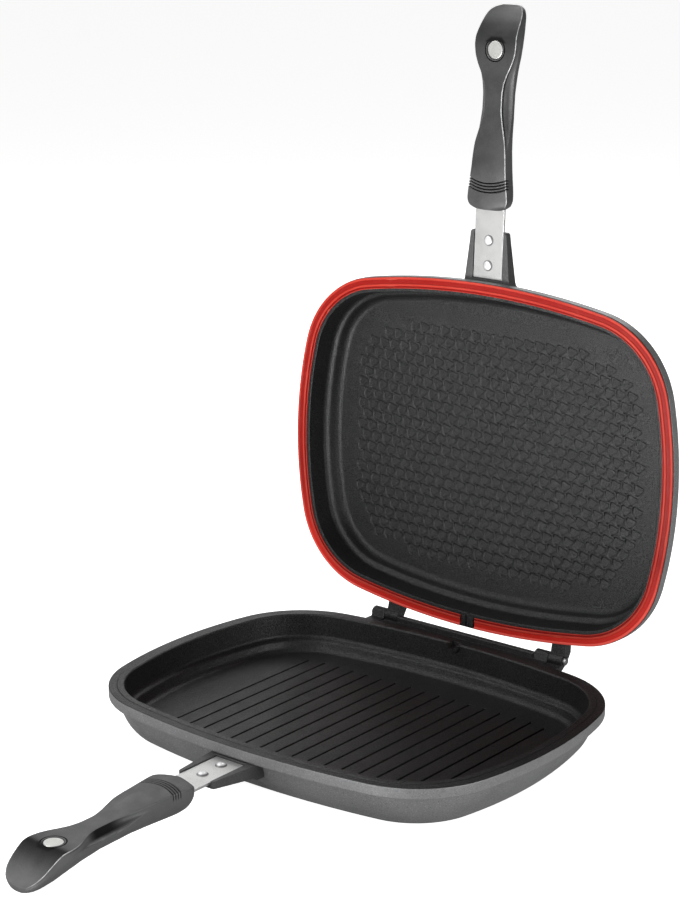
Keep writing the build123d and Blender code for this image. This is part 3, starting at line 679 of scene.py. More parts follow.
def cast_lower():
    mats = (GREY, BLACK, FORK, HINGE)
    o = pan_shell("lower_pan_casting", LOW_PROFILE, mats)
    # steam notch in the hinge side: a half-round opening with a raised half ring on the inner wall
    ring = prism("ring_tmp", [(7.0 * math.cos(t), 36.0 + 7.0 * math.sin(t)) for t in np.linspace(math.pi, 2 * math.pi, 25)],
                 "xz", 125.3, 129.6, mats, 1)
    combine(o, bevel(ring, 0.5, 2, 40), "UNION")
    combine(o, round_prism("notch_tmp", 4.2, (0, 36.6), "xz", 121.0, 135.6, mats, 1), "DIFFERENCE")
    combine(o, fork(0.0, mats), "UNION")
    rail = prism("rail_tmp", [(133.5, 29.5), (133.5, 35.7), (141.2, 35.7), (141.2, 39.5), (142.1, 40.4), (145.3, 40.4),
                              (146.2, 39.5), (146.2, 33.5), (142.5, 29.5)], "yz", -66.5, 67.25, mats, 3)
    combine(o, bevel(rail, 0.4, 2, 20), "UNION")
    for x0, x1 in LOW_KNUCKLES:
        combine(o, knuckle_low(x0, x1, mats), "UNION")
    for x0, x1 in LID_KNUCKLES:
        pad = prism("pad_tmp", [(128, 27.5), (135, 27.0), (137.5, 28.5), (137.5, 35.5), (128, 35.5)], "yz", x0, x1, mats, 3)
        combine(o, bevel(pad, 0.3, 2, 30), "UNION")
    # ribbed floor
    grooves = []
    for i in range(-8, 9):
        x = i * 14.4
        over = abs(x) - 98.0
        half = 92.0 if over <= 0 else 54.0 + math.sqrt(max(0.0, 38.0**2 - over**2))
        loops = []
        for w, dz in ((1.25, 0.0), (0.95, 0.0), (0.72, 0.0), (0.55, 0.0)):
            ends = [(x + w * math.cos(t), half - 1.5 + w * math.sin(t)) for t in np.linspace(0, math.pi, 7)]
            ends += [(x + w * math.cos(t), -half + 1.5 + w * math.sin(t)) for t in np.linspace(math.pi, 2 * math.pi, 7)]
            loops.append(np.array(ends))
        grooves.append(loops)
    verts, faces, _ = patterned_floor(at_inset(COLS, CAP_IN), grooves, (7.0, 6.85, 6.3, 5.0), FLOOR_Z)
    fit_floor(o, verts, faces, 1)
    return o


# one sunk cell of the lid's pattern, corner points in millimetres, counter-clockwise
CELL = ((0.0, 0.0), (0.45, -0.45), (1.7, -0.75), (3.0, -0.45), (4.2, 0.15), (5.6, 0.75), (6.8, 1.0), (8.2, 0.85), (8.8, 1.5),
        (8.75, 3.0), (8.3, 4.2), (7.3, 4.95), (6.3, 5.6), (5.3, 6.6), (4.5, 7.6), (3.9, 8.4), (3.1, 8.5), (2.0, 8.0),
        (1.0, 7.3), (0.2, 6.2), (-0.1, 4.2), (-0.1, 2.2))
CELL_X, CELL_Y = 10.08, 8.92


def cast_upper():
    mats = (GREY, BLACK, FORK, HINGE)
    o = pan_shell("upper_pan_casting", LID_PROFILE, mats)
    combine(o, fork(LID_LIFT, mats), "UNION")
    for (x0, x1), clear in zip(LID_KNUCKLES, (134.9, 133.2)):
        arc = [(HINGE_Y + KNUCKLE_R * math.cos(t), LID_PIN_Z + KNUCKLE_R * math.sin(t))
               for t in np.linspace(math.radians(-35), math.radians(170), 24)]
        arm = [(129, 27.2), (141.5, 27.2), (148.5, 31.5)] + arc + [(clear, 35.3), (clear, 32.5), (129, 32.5)]
        combine(o, bevel(prism("arm_tmp", arm, "yz", x0, x1, mats, 3), 0.4, 2, 40), "UNION")
        # heel that meets the stop pad, drawn open and carried back
        turn = math.radians(OPEN_DEG)
        heel = []
        for dy, dz in ((-3.6, -2.4), (-9.15, -4.2), (-9.15, -8.6), (-5.5, -8.8), (1.5, -4.2)):
            heel.append((HINGE_Y + dy * math.cos(turn) - dz * math.sin(turn),
                         2 * MIRROR_Z - (HINGE_Z + dy * math.sin(turn) + dz * math.cos(turn))))
        combine(o, prism("heel_tmp", heel, "yz", x0 + 0.02, x1 - 0.02, mats, 3), "UNION")
    vent = prism("vent_tmp", [(-5.8, 33.0), (5.8, 33.0), (5.8, 37.3), (-5.8, 37.3)], "xz", 129.9, 139.5, mats, 3)
    combine(o, bevel(vent, 0.5, 2, 40), "UNION")
    combine(o, round_prism("vent_hole", 2.0, (0, 37.3), "xz", 124.0, 142.0, mats, 3, 24), "DIFFERENCE")
    cells, guard = [], []
    edge = at_inset(COLS, CAP_IN + 2.5)[:, :2]
    base = smooth_loop(CELL, 22, 1)
    loops0 = [offset_loop(base, d) for d in (0.34, 0.14, -0.26, -0.6)]
    for k in range(-13, 14):
        for i in range(-17, 18):
            x, y = 3.02 + CELL_X * i + 0.5 * CELL_X * ((k - 1) % 2), 3.72 + CELL_Y * k
            cx, cy = (x + 4.4 + 2.2) / 136.5, (y + 3.8 - 3.0) / 96.0
            if abs(cx)**4.5 + abs(cy)**4.5 < 1.0:
                cells.append([l + np.array((x, y)) for l in loops0])
            else:
                guard += [q for q in (loops0[0] + np.array((x, y)))[::2] if inside(edge, q)]
    ramp = lambda y: min(1.0, max(0.16, (7.0 - (math.fmod(y - 3.72 + 1.5 + 40 * CELL_Y, CELL_Y) - 1.5)) / 5.0))
    verts, faces, _ = patterned_floor(at_inset(COLS, CAP_IN), cells, (7.0, 6.88, 6.4, 6.26), FLOOR_Z, guard, ramp)
    fit_floor(o, verts, faces, 1)
    # painted shade weight at the foot of the pattern cells
    mark_foot_shade(o, 6.33, 6.5)
    return o


# ----------------------------------------------------------------------- gasket


def gasket_piece():
    """Closed T section with two lips and a channel; open at the vent."""
    z0, top = 36.02, 37.35
    head = [(2.55, z0), (0.5, z0), (0.5, top - 0.4), (0.8, top), (2.1, top), (2.7, top - 0.75), (5.7, top - 0.75), (6.3, top),
            (7.5, top), (7.9, top - 1.0), (8.9, top - 1.0), (9.15, top - 0.55), (9.6, top - 0.55), (9.7, z0), (7.45, z0),
            (7.45, 33.1), (2.55, 33.1)]
    radii = [0.0, 0.2, 0.4, 0.4, 0.5, 0.35, 0.35, 0.5, 0.4, 0.25, 0.2, 0.2, 0.2, 0.2, 0.0, 0.2, 0.2]
    prof = soften(head, radii, 4, closed=True)
    cols = outline_columns(1.6)
    p = at_inset(cols, 0.0)
    # start the sweep at the vent on the hinge side
    side = 7.0
    keep = ~((np.abs(p[:, 0]) < side + 0.6) & (p[:, 1] > 0))
    first = int(np.argmax(~keep & (p[:, 0] < 0)))
    order = np.roll(np.arange(len(cols)), -first)
    order = [i for i in order if keep[i]]
    fy = HALF_D - FRONT_R
    ends = [(0.0, fy, FRONT_R, -side / FRONT_R, math.sqrt(1 - (side / FRONT_R)**2)),
            (0.0, fy, FRONT_R, side / FRONT_R, math.sqrt(1 - (side / FRONT_R)**2))]
    cols = np.array([ends[0]] + [tuple(cols[i]) for i in order] + [ends[1]])
    verts, faces = ring_mesh(cols, prof, True, False)
    m, n = len(prof), len(cols)
    faces.append(tuple(range(m)))
    faces.append(tuple((n - 1) * m + j for j in range(m))[::-1])
    o = raw_object("gasket_silicone", verts, faces, (RED,))
    bm = bmesh.new()
    bm.from_mesh(o.data)
    bmesh.ops.recalc_face_normals(bm, faces=bm.faces)
    bm.to_mesh(o.data)
    bm.free()
    # painted shade weights: foot and channel darker red, the small groove by the outer lip near black, lips lighter
    shade_zone = o.data.attributes.new("shade_zone", "FLOAT", "POINT")
    vals = []
    for u, z in prof:
        if z < 36.45:
            vals.append(0.0)
        elif 2.5 < u < 5.9:
            vals.append(0.12)
        elif 7.75 < u < 9.0:
            vals.append(-1.0)
        else:
            vals.append(1.0)
    shade_zone.data.foreach_set("value", np.tile(np.array(vals, np.float32), n))
    # a lighter red on the channel and outer lip by the hinge, in place of light that these lamps don't throw there:
    # a match to the photo's lighting, not a difference in the silicone
    lit = o.data.attributes.new("lit", "FLOAT", "POINT")
    along = np.clip((at_inset(cols, 0.0)[:, 1] - 50.0) / 45.0, 0.0, 1.0)
    across = np.array([1.0 if u < 5.9 else 0.0 for u, z in prof])
    lit.data.foreach_set("value", (along[:, None] * across[None, :]).astype(np.float32).ravel())
    return o


# ------------------------------------------------------------------------ grips
GRIP_TABLE = (
    (-196.6, 11.0, 6.6, 3.4, 11.2, 9.2, 7.4),
    (-197.9, 14.2, 5.8, 3.0, 14.4, 8.5, 11.4),
    (-200.2, 17.2, 5.0, 2.7, 17.4, 7.8, 15.4),
    (-204.6, 18.5, 4.6, 2.5, 18.5, 7.4, 18.0),
    (-211.6, 17.9, 4.4, 2.3, 17.6, 7.3, 19.0),
    (-219.5, 16.9, 4.4, 2.3, 16.5, 7.3, 18.9),
    (-228.0, 16.0, 4.6, 2.5, 15.7, 7.5, 18.4),
    (-238.0, 15.2, 4.9, 2.5, 15.1, 8.0, 17.5),
    (-247.0, 14.1, 5.3, 2.1, 14.8, 9.0, 16.1),
    (-256.0, 11.9, 6.1, 1.2, 14.6, 10.6, 13.9),
    (-265.0, 9.5, 6.9, 0.3, 14.3, 12.4, 12.2),
    (-274.0, 8.1, 7.4, 0.0, 14.0, 13.5, 11.1),
    (-283.0, 8.1, 7.5, 0.0, 14.0, 13.7, 11.1),
    (-292.0, 9.2, 7.5, 0.0, 14.6, 13.4, 12.3),
    (-300.0, 12.1, 7.5, 0.0, 15.8, 12.6, 13.6),
    (-308.0, 15.9, 7.5, 0.0, 17.4, 12.0, 14.7),
    (-315.0, 18.2, 7.5, 0.0, 18.7, 11.9, 15.5),
    (-322.0, 19.0, 7.5, 0.0, 19.2, 12.6, 15.8),
    (-327.0, 18.8, 8.0, -0.2, 19.0, 13.8, 15.6),
    (-331.5, 18.4, 9.8, -1.2, 18.6, 15.4, 14.8),
    (-337.0, 17.8, 13.0, -2.6, 18.0, 17.6, 13.0),
    (-342.5, 16.9, 16.8, -3.0, 17.2, 20.0, 10.8),
    (-347.0, 14.9, 20.2, -2.4, 15.3, 22.4, 8.4),
    (-349.6, 11.7, 23.2, -1.4, 12.2, 24.8, 5.9),
    (-351.3, 7.0, 26.4, -0.5, 7.5, 27.6, 2.9),
)


def pchip(x, y, t):
    """Monotone cubic through (x, y), x rising, at t."""
    x, y, t = (np.array(v, float) for v in (x, y, t))
    h, d = np.diff(x), np.diff(y) / np.diff(x)
    m = np.zeros(len(x))
    m[0], m[-1] = d[0], d[-1]
    for i in range(1, len(x) - 1):
        if d[i - 1] * d[i] > 0:
            w1, w2 = 2 * h[i] + h[i - 1], h[i] + 2 * h[i - 1]
            m[i] = (w1 + w2) / (w1 / d[i - 1] + w2 / d[i])
    k = np.clip(np.searchsorted(x, t) - 1, 0, len(x) - 2)
    s = (t - x[k]) / h[k]
    return ((1 + 2 * s) * (1 - s)**2 * y[k] + s * (1 - s)**2 * h[k] * m[k]
            + s * s * (3 - 2 * s) * y[k + 1] + s * s * (s - 1) * h[k] * m[k + 1])


def bend(a, c, b, n):
    """n inner points of the quadratic curve from a to b with corner c."""
    t = np.linspace(0, 1, n + 2)[1:-1, None]
    a, c, b = (np.array(q, float) for q in (a, c, b))
    return (1 - t)**2 * a + 2 * t * (1 - t) * c + t * t * b


def grip_section(w, d, crown, rail, dr, b):
    """Half a section as (x, depth): face, crisp edge, hollow flank, rail and rounded back. Same count for every station."""
    h, g = dr - d, rail - w
    face = lambda s: (w * s, d - crown * (1 - s * s))
    flank = lambda t: (w + g * (1 - math.cos(t)), d + h * math.sin(t))
    back = lambda t: (rail * math.cos(t)**0.9, dr + b * math.sin(t))
    r = min(0.9, 0.12 * w, 0.35 * h + 0.05)
    ta = min(0.5, 0.9 * r / max(h, 0.5))
    tb, tc = math.pi / 2 - min(0.5, 1.6 / max(g + h, 3.0)), 0.1
    out = [face(s) for s in np.linspace(0, 1 - r / w, 12)]
    out += [tuple(q) for q in bend(out[-1], (w, d), flank(ta), 5)]
    out += [flank(t) for t in np.linspace(ta, tb, 11)]
    out += [tuple(q) for q in bend(out[-1], (rail, dr), back(tc), 3)]
    out += [back(t) for t in np.linspace(tc, math.pi / 2, 18)]
    return np.array(out)


SCOOP = ((-322.0, 0.0), (-327.0, -0.7), (-331.5, -2.5), (-337.0, -3.9), (-342.5, -3.8), (-347.0, -2.9), (-349.6, -1.7), (-351.3, -0.5))


# painted shade and painted light along the grip, values read off, not known wear:
# (y, amount) on the face and in the thumb hollow; above zero is painted shade, below zero is paler as painted
# light; tone of the moulding along the grip, matched to the photo and so partly its lighting, not known wear: (y,
# amount) on the face and in the thumb hollow; below zero is paler
PAINTED_SHADING_LID = ((-351.3, -0.3), (-347.6, -0.25), (-342.7, 0.0), (-336.0, 0.6), (-326.0, 0.8), (-318.0, 0.65), (-308.0, 0.5),
            (-277.0, 0.5), (-256.0, 0.42), (-236.0, 0.5), (-220.0, 0.15), (-196.6, 0.15))
PAINTED_SHADING_LOW = ((-351.3, -0.8), (-347.0, -0.7), (-340.0, 0.0), (-332.0, 0.72), (-325.0, 1.0), (-319.0, 0.3), (-312.0, 0.08), (-300.0, 0.0),
            (-270.0, -0.05), (-240.0, -0.15), (-220.0, -0.1), (-196.6, 0.1))
HOLLOW_PAINTED_SHADE = ((-351.3, 0.0), (-300.0, 0.0), (-295.0, 0.5), (-288.0, 1.0), (-276.0, 1.0), (-262.0, 0.6), (-250.0, 0.15),
          (-244.0, 0.0), (-196.6, 0.0))


def grip_painted_shading(y, lift):
    """Painted shade and light, a painted shadow line under the face's edge and a painted highlight line on the edge,
    for the 49 points of half a section.
    """
    k = np.arange(49)
    at = lambda table: float(pchip(np.array(table)[:, 0], np.array(table)[:, 1], [np.clip(y, -351.3, -196.6)])[0])
    # painted shade and light on the face, painted shade in the thumb hollow
    face = at(PAINTED_SHADING_LID if lift > 0 else PAINTED_SHADING_LOW)
    hollow_shade = at(HOLLOW_PAINTED_SHADE)
    # painted light: the flank paler, turning to painted shade in the thumb hollow
    side = -0.15 if lift > 0 else -0.6
    weight = np.clip((28.0 - k) / 5.0, 0, 1) * hollow_shade * (0.35 if lift > 0 else 1.0)
    painted_shading = np.where(k < 15, face, side * (1 - weight) + 1.0 * weight)
    ends = np.clip((y + 351.3) / 3.0, 0, 1) * np.clip((-199.0 - y) / 4.0, 0, 1)
    if lift <= 0:
        ends *= np.clip((-300.0 - y) / 22.0, 0.12, 1)
    # painted highlight along the face's edge
    painted_edge_highlight = np.select([(k >= 13) & (k <= 14), (k == 12) | (k == 15)], [1.0, 0.35], 0.0) * ends
    # painted shadow: dark line on the flank just under the face's edge
    line = np.where((k >= 17) & (k <= 18), 0.85, 0.0) * ends * np.clip((y + 330.0) / 20.0, 0, 1)
    return painted_shading, line, painted_edge_highlight


def grip_piece(name, lift):
    tab = np.array(GRIP_TABLE)[::-1]
    top = RIM_Z + lift
    ys = (list(np.arange(-351.05, -344.0, 0.4)) + list(np.arange(-343.6, -222.5, 1.5)) + list(np.arange(-222.4, -207.0, 0.26))
          + list(np.arange(-206.7, -196.9, 0.6)) + [-196.85])
    cols = [pchip(tab[:, 0], tab[:, k], ys) for k in range(1, 7)]
    scoop = np.array(SCOOP)[::-1]
    rows, cuts, shading_rows, edge_highlight_rows = [], [], [], []
    for i, y in enumerate(ys):
        w, d, crown, rail, dr, b = (c[i] for c in cols)
        if y < -322:
            crown = float(pchip(scoop[:, 0], scoop[:, 1], [y])[0])
        half = grip_section(w, d, crown, max(rail, w + 0.05), dr, b)
        x, depth = half[:, 0].copy(), half[:, 1].copy()
        # four fine grooves, bowed towards the pan, running out over the edges
        cut = np.zeros(len(x))
        for g in range(4):
            yg = -210.4 - 2.3 * g - 45.0 + np.sqrt(45.0**2 - np.minimum(x, 30)**2)
            cut += np.exp(-(np.abs(y - yg) / 0.46)**4)
        fade = np.clip((d + (dr - d) + 2.2 - depth) / 2.5, 0, 1)
        cut *= fade
        sunk = 1.15 * cut
        depth = np.where(np.arange(len(x)) < 14, depth + sunk, depth + 0.4 * sunk)
        x = np.where(np.arange(len(x)) >= 12, x - 0.7 * sunk, x)
        full = np.concatenate([np.stack([x, depth], 1), np.stack([-x[1:-1], depth[1:-1]], 1)[::-1]])
        rows.append(np.stack([full[:, 0], np.full(len(full), y), top - full[:, 1]], 1))
        # painted shade, painted shadow line and painted edge highlight for this section
        painted_shading, line, painted_edge_highlight = grip_painted_shading(y, lift)
        # grooves and the shadow line under the edge share one painted shade weight
        cuts.append(np.concatenate([np.maximum(cut, line), cut[1:-1][::-1]]))
        shading_rows.append(np.concatenate([painted_shading, painted_shading[1:-1][::-1]]))
        edge_highlight_rows.append(np.concatenate([painted_edge_highlight * (1 - np.minimum(cut, 1)), 0.2 * painted_edge_highlight[1:-1][::-1]]))
    m = len(rows[0])
    verts = list(np.concatenate(rows))
    shade_zone, shading_values, edge_highlight_values = (list(np.concatenate(q)) for q in (cuts, shading_rows, edge_highlight_rows))
    faces = []
    for i in range(len(rows) - 1):
        for j in range(m):
            j2 = (j + 1) % m
            faces.append((i * m + j, i * m + j2, (i + 1) * m + j2, (i + 1) * m + j))
    for row, first, yend in ((rows[0], 0, -351.3), (rows[-1], (len(rows) - 1) * m, -196.6)):
        c = row.mean(0)
        ring = [first + j for j in range(m)]
        for k_s, s in enumerate((0.9, 0.6, 0.3)):
            k = len(verts)
            new = c + (row - c) * s
            new[:, 1] = row[0, 1] + (yend - row[0, 1]) * (0.6, 0.95, 1.0)[k_s]
            verts += list(new)
            shade_zone += [0.0] * m
            edge_highlight_values += [0.0] * m
            shading_values += list(shading_rows[0] if first == 0 else shading_rows[-1])
            new = list(range(k, k + m))
            for j in range(m):
                j2 = (j + 1) % m
                faces.append((ring[j], ring[j2], new[j2], new[j]))
            ring = new
        verts.append(np.array((c[0], yend, c[2])))
        shade_zone.append(0.0)
        edge_highlight_values.append(0.0)
        shading_values.append(float(shading_rows[0][0] if first == 0 else shading_rows[-1][0]))
        k = len(verts) - 1
        faces += [(ring[j], ring[(j + 1) % m], k) for j in range(m)]
    o = raw_object(name, verts, faces, (GRIP,))
    bm = bmesh.new()
    bm.from_mesh(o.data)
    bmesh.ops.recalc_face_normals(bm, faces=bm.faces)
    bm.to_mesh(o.data)
    bm.free()
    for key, values in (("shade_zone", shade_zone), ("painted_shading", shading_values), ("painted_edge_highlight", edge_highlight_values)):
        att = o.data.attributes.new(key, "FLOAT", "POINT")
        att.data.foreach_set("value", np.array(values, np.float32))
    face = RIM_Z - 7.5 + lift
    # magnet pocket, and a ring groove round its collar
    combine(o, round_prism("pocket", 7.15, (0, MAGNET_Y), "xy", face - 4.3, face + 4, (GRIP,), 0, 56), "DIFFERENCE")
    ring = round_prism("ring", 9.3, (0, MAGNET_Y), "xy", face - 0.75, face + 4, (GRIP,), 0, 56)
    combine(ring, round_prism("collar", 8.3, (0, MAGNET_Y), "xy", face - 5, face + 8, (GRIP,), 0, 56), "DIFFERENCE")
    combine(o, ring, "DIFFERENCE")
    # new edges round the magnet take the painted shade of the face and no painted edge highlight; the ring's foot is
    # painted dark as shade
    co = np.zeros(len(o.data.vertices) * 3)
    o.data.vertices.foreach_get("co", co)
    co = co.reshape(-1, 3)
    away = np.hypot(co[:, 0], co[:, 1] - MAGNET_Y)
    near = (away < 10.5) & (co[:, 2] > face - 6)
    table = np.array(PAINTED_SHADING_LID if lift > 0 else PAINTED_SHADING_LOW)
    dark = near & (away > 7.0) & (co[:, 2] < face - 0.3)
    for key, value in (("painted_shading", pchip(table[:, 0], table[:, 1], np.clip(co[:, 1], -351.3, -196.6))), ("painted_edge_highlight", 0.0 * away),
                       ("shade_zone", 0.9 * dark)):
        att = o.data.attributes[key]
        old = np.zeros(len(co), np.float32)
        att.data.foreach_get("value", old)
        att.data.foreach_set("value", np.where(near, value, old).astype(np.float32))
    # screw counterbore in the back
    combine(o, round_prism("bore", 4.0, (0, -221.0), "xy", -20 + lift, 17.0 + lift, (GRIP,), 0, 40), "DIFFERENCE")
    return o


# ------------------------------------------------------------------- small parts


def lathe(name, profile, centre, mats, n=48):
    """Turn (radius, height) about a vertical line. The profile starts and ends on the axis."""
    verts, faces, m = [], [], len(profile)
    inner = profile[1:-1]
    k = len(inner)
    for i in range(n):
        a = 2 * math.pi * i / n
        verts += [(centre[0] + r * math.cos(a), centre[1] + r * math.sin(a), z) for r, z in inner]
    verts += [(centre[0], centre[1], profile[0][1]), (centre[0], centre[1], profile[-1][1])]
    lo, hi = n * k, n * k + 1
    for i in range(n):
        i2 = (i + 1) % n
        for j in range(k - 1):
            faces.append((i * k + j, i2 * k + j, i2 * k + j + 1, i * k + j + 1))
        faces.append((lo, i2 * k, i * k))
        faces.append((hi, i * k + k - 1, i2 * k + k - 1))
    o = raw_object(name, verts, faces, mats)
    bm = bmesh.new()
    bm.from_mesh(o.data)
    bmesh.ops.recalc_face_normals(bm, faces=bm.faces)
    bm.to_mesh(o.data)
    bm.free()
    return o


def join(name, objects):
    """One object from several meshes."""
    bm = bmesh.new()
    mats = []
    for o in objects:
        k = len(bm.faces)
        bm.from_mesh(o.data)
    for o in objects:
        for m in o.data.materials:
            if m not in mats:
                mats.append(m)
    me = bpy.data.meshes.new(name)
    bm.to_mesh(me)
    bm.free()
    for m in mats:
        me.materials.append(m)
    for o in objects:
        bpy.data.objects.remove(o)
    r = bpy.data.objects.new(name, me)
    bpy.context.scene.collection.objects.link(r)
    return r


def tang_piece(name, lift):
    z1, z0 = TANG_TOP + lift, TANG_TOP - TANG_T + lift
    plan = [(-13.3, -142.5), (-13.3, -203.0), (-10.5, -203.0), (-10.5, -236.0), (10.5, -236.0), (10.5, -203.0),
            (13.3, -203.0), (13.3, -142.5)]
    plan = soften(plan, [0.8, 0.5, 0.5, 2, 2, 0.5, 0.5, 0.8], 5, closed=True)
    o = prism(name, plan, "xy", z0, z1, (TANG,), 0)
    return bevel(o, 0.3, 3, 40)


def rivet_piece(name, lift):
    made = []
    for k, y in enumerate(RIVET_Y):
        z = TANG_TOP + lift
        seat = 17.6 + 3.9 * (-141 - y) / (-141 - FORK_TIP_Y) + 0.5 - 0.05 + lift
        dome = arc3((4.35, z + 0.1), (3.1, z + 1.22), (0.0, z + 1.9), 12)
        prof = [(0, seat - 1.5), (3.7, seat - 1.5), (4.2, seat - 1.1), (4.2, seat), (2.5, seat), (2.5, z - 0.02),
                (4.2, z - 0.02), (4.38, z + 0.05)] + dome[1:]
        o = lathe(f"rivet_{k}", prof, (0, y), (RIVET, RIVET_RIM_SHADE))
        # painted shade: the rim of each dome and the part under the head take the darker metal
        for f in o.data.polygons:
            f.material_index = int(math.hypot(f.center.x, f.center.y - y) > 3.45)
        made.append(o)
    return join(name, made)


def screw_piece(name, lift):
    seat = 17.0 + lift
    prof = [(0, seat - 2.4), (3.2, seat - 2.4), (3.8, seat - 1.9), (3.9, seat), (2.0, seat), (2.0, TANG_TOP - 0.5 + lift),
            (0, TANG_TOP - 0.3 + lift)]
    o = lathe(name, prof, (0, -221.0), (SCREW,))
    for sx, sy in ((2.7, 0.45), (0.45, 2.7)):
        box = prism("slot_tmp", [(-sx, -221 - sy), (sx, -221 - sy), (sx, -221 + sy), (-sx, -221 + sy)], "xy",
                    seat - 4, seat - 1.4, (SCREW,), 0)
        combine(o, box, "DIFFERENCE")
    return o


def magnet_piece(name, lift):
    top = RIM_Z - 7.5 + lift - 0.15
    prof = [(0, top - 4.0), (6.9, top - 4.0)] + soften([(6.9, top - 4.0), (6.9, top), (0, top)], [0, 0.6, 0], 5)[1:-1] + [(0, top)]
    return lathe(name, prof, (0, MAGNET_Y), (MAGNET,), 64)


def pin_piece(name, x_shank0, x_shank1, x_head0, x_head1):
    """Pin along X: shank and rounded head."""
    s = 1 if x_head1 > x_shank1 - 0.1 and x_head0 >= x_shank1 - 0.1 else -1
    if s > 0:
        prof = [(0, x_shank0), (1.6, x_shank0), (2.0, x_shank0 + 0.4), (2.0, x_head0), (3.3, x_head0)]
        prof += arc3((3.3, x_head1 - 0.7), (2.7, x_head1 - 0.18), (0, x_head1), 8)
    else:
        prof = [(0, x_shank1), (1.6, x_shank1), (2.0, x_shank1 - 0.4), (2.0, x_head1), (3.3, x_head1)]
        prof += arc3((3.3, x_head0 + 0.7), (2.7, x_head0 + 0.18), (0, x_head0), 8)
    o = lathe(name, prof, (0, 0), (PIN,), 40)
    for v in o.data.vertices:
        r = v.co.copy()
        v.co = (r.z, HINGE_Y + r.x, HINGE_Z + r.y)
    bm = bmesh.new()
    bm.from_mesh(o.data)
    bmesh.ops.recalc_face_normals(bm, faces=bm.faces)
    bm.to_mesh(o.data)
    bm.free()
    return o


# ------------------------------------------------------------------- put together
low = cast_lower()
up = cast_upper()
print("open edges", open_edges(low), open_edges(up), "faces", len(low.data.polygons), len(up.data.polygons))
finish_piece(low, "base", replaces=("lower_pan",))
finish_piece(up, "lid", lid=True, replaces=("upper_pan",))
finish_piece(gasket_piece(), "lid", lid=True, replaces=("gasket",), angle=50)

for side, body, lift, is_lid in (("lower", "base", 0.0, False), ("upper", "lid", LID_LIFT, True)):
    finish_piece(grip_piece(f"{side}_grip_handle", lift), body, is_lid, angle=40,
                 replaces=(f"{side}_grip",))
    finish_piece(tang_piece(f"{side}_tang_plate", lift), body, is_lid, replaces=(f"{side}_tang",))
    finish_piece(rivet_piece(f"{side}_rivet_pair", lift), body, is_lid, replaces=(f"{side}_tang_rivets",))
    finish_piece(screw_piece(f"{side}_screw", lift), body, is_lid, replaces=(f"{side}_grip_screw",))
    finish_piece(magnet_piece(f"{side}_magnet_disc", lift), body, is_lid, replaces=(f"{side}_magnet",))

finish_piece(pin_piece("hinge_pin_left_round", -93.0, -69.0, -94.8, -93.0), "base", replaces=("hinge_pin_left",))
finish_piece(pin_piece("hinge_pin_right_round", 68.9, 93.3, 93.3, 95.1), "base", replaces=("hinge_pin_right",))

# ------------------------------------------------------------------------- studio
PAPER_SEEN, PAPER_GLOW = 0.93, 0.158
scene = bpy.context.scene
scene.view_settings.view_transform = "Standard"
scene.view_settings.look = "None"

floor_mesh = bpy.data.meshes.new("studio_floor")
floor_mesh.from_pydata([(-30, -30, -0.0005), (30, -30, -0.0005), (30, 30, -0.0005), (-30, 30, -0.0005)], [], [(0, 1, 2, 3)])
studio = bpy.data.objects.new("studio_floor", floor_mesh)
scene.collection.objects.link(studio)
paper = Nodes("studio_paper")
tint = paper.mix(paper.noise(3.0), (0.80, 0.80, 0.80), (0.82, 0.82, 0.82))
paper.set(Base_Color=tint, Roughness=0.95)
paper.bsdf.inputs["Specular IOR Level"].default_value = 0.1
paper.put(paper.bsdf.inputs["Emission Color"], (1.0, 1.0, 1.0, 1.0))
paper.bsdf.inputs["Emission Strength"].default_value = PAPER_SEEN
grey_paper = paper.new("ShaderNodeBsdfPrincipled")
paper.put(grey_paper.inputs["Base Color"], paper.mix(paper.noise(3.0), (0.39, 0.39, 0.39), (0.41, 0.41, 0.41)))
grey_paper.inputs["Roughness"].default_value = 0.95
paper.put(grey_paper.inputs["Emission Color"], (1.0, 1.0, 1.0, 1.0))
grey_paper.inputs["Emission Strength"].default_value = PAPER_GLOW
ray = paper.new("ShaderNodeLightPath")
both = paper.new("ShaderNodeMixShader")
paper.t.links.new(ray.outputs["Is Camera Ray"], both.inputs[0])
paper.t.links.new(grey_paper.outputs[0], both.inputs[1])
paper.t.links.new(paper.bsdf.outputs[0], both.inputs[2])
paper.t.links.new(both.outputs[0], paper.out.inputs[0])
floor_mesh.materials.append(paper.mat)

world = bpy.data.worlds.new("studio_world")
world.use_nodes = True
world.node_tree.nodes["Background"].inputs[0].default_value = (1, 1, 1, 1)
world.node_tree.nodes["Background"].inputs[1].default_value = 0.02
scene.world = world


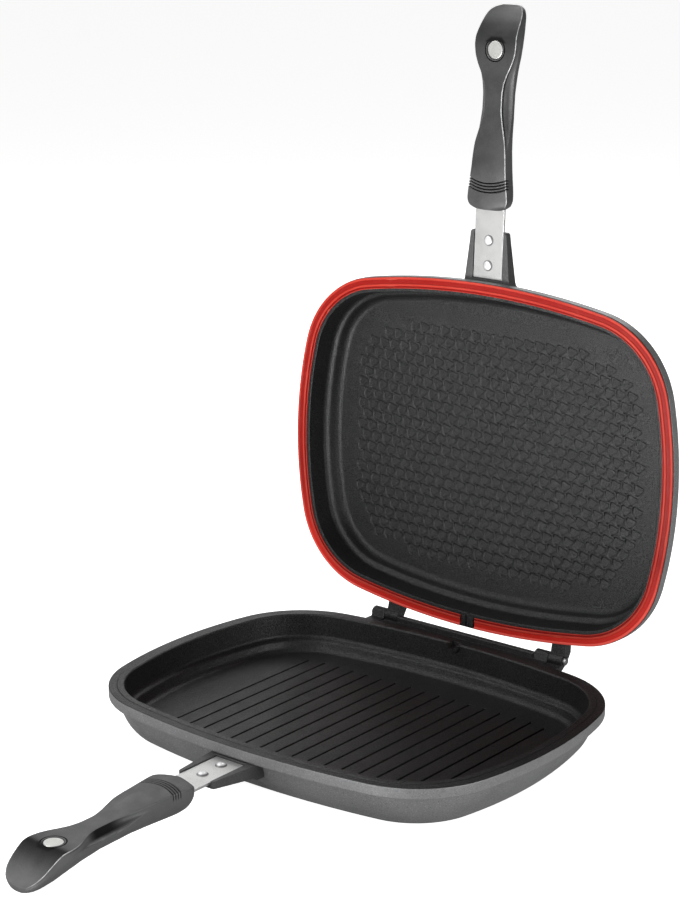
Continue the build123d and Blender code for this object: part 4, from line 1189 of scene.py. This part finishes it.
def softbox(name, azimuth, height, power, size=1.0, distance=2.0):
    """Square soft light on a dome round the object, aimed at its middle. azimuth 0 is +X, 270 the handle side."""
    a, e = math.radians(azimuth), math.radians(height)
    way = Vector((math.cos(a) * math.cos(e), math.sin(a) * math.cos(e), math.sin(e)))
    light = bpy.data.lights.new(name, "AREA")
    light.shape, light.size, light.size_y, light.energy = "RECTANGLE", size, size, power
    o = bpy.data.objects.new(name, light)
    o.location = Vector((0, 0, 0.13)) + way * distance
    o.rotation_mode = "QUATERNION"
    o.rotation_quaternion = (-way).to_track_quat("-Z", "Y")
    o.visible_camera = False
    scene.collection.objects.link(o)
    return o


def table_card(name, azimuth, distance, power, size=0.5):
    """Bright card lying on the table, facing up."""
    a = math.radians(azimuth)
    light = bpy.data.lights.new(name, "AREA")
    light.shape, light.size, light.size_y, light.energy = "RECTANGLE", size, size, power
    o = bpy.data.objects.new(name, light)
    o.location = (math.cos(a) * distance, math.sin(a) * distance, 0.004)
    o.rotation_euler = (math.pi, 0, a)
    o.visible_camera = False
    scene.collection.objects.link(o)
    return o


for name, azimuth, height, power in (
        ("box_right_low", 0, 10, 22.9), ("box_back", 112, 38, 12.2), ("box_front", 247, 38, 11.3),
        ("box_front_low", 270, 10, 10.8), ("box_left_high", 180, 65, 8.9), ("box_left_back", 157, 38, 7.0),
        ("box_left_front", 202, 38, 4.5), ("box_back_low", 135, 10, 2.1), ("box_far_left", 225, 10, 0.8)):
    softbox(name, azimuth, height, power)
table_card("card_front", 270, 0.75, 27.8)

camera_data = bpy.data.cameras.new("photo_camera")
camera_data.sensor_width = 36.0
camera_data.lens = 36.0 * 2285.686 / 900.0
camera_data.clip_start, camera_data.clip_end = 0.05, 100.0
camera = bpy.data.objects.new("photo_camera", camera_data)
right = Vector((0.78333785, 0.62158831, 0.00312934))
down = Vector((0.16975368, -0.20907853, -0.96305236))
ahead = Vector((-0.59796781, 0.75492658, -0.26929603))
camera.matrix_world = Matrix.Translation((0.99384, -1.27328, 0.67612)) @ Matrix((right, -down, -ahead)).transposed().to_4x4()
scene.collection.objects.link(camera)
scene.camera = camera

# --------------------------------------------------------------------------- final update
bpy.context.view_layer.update()
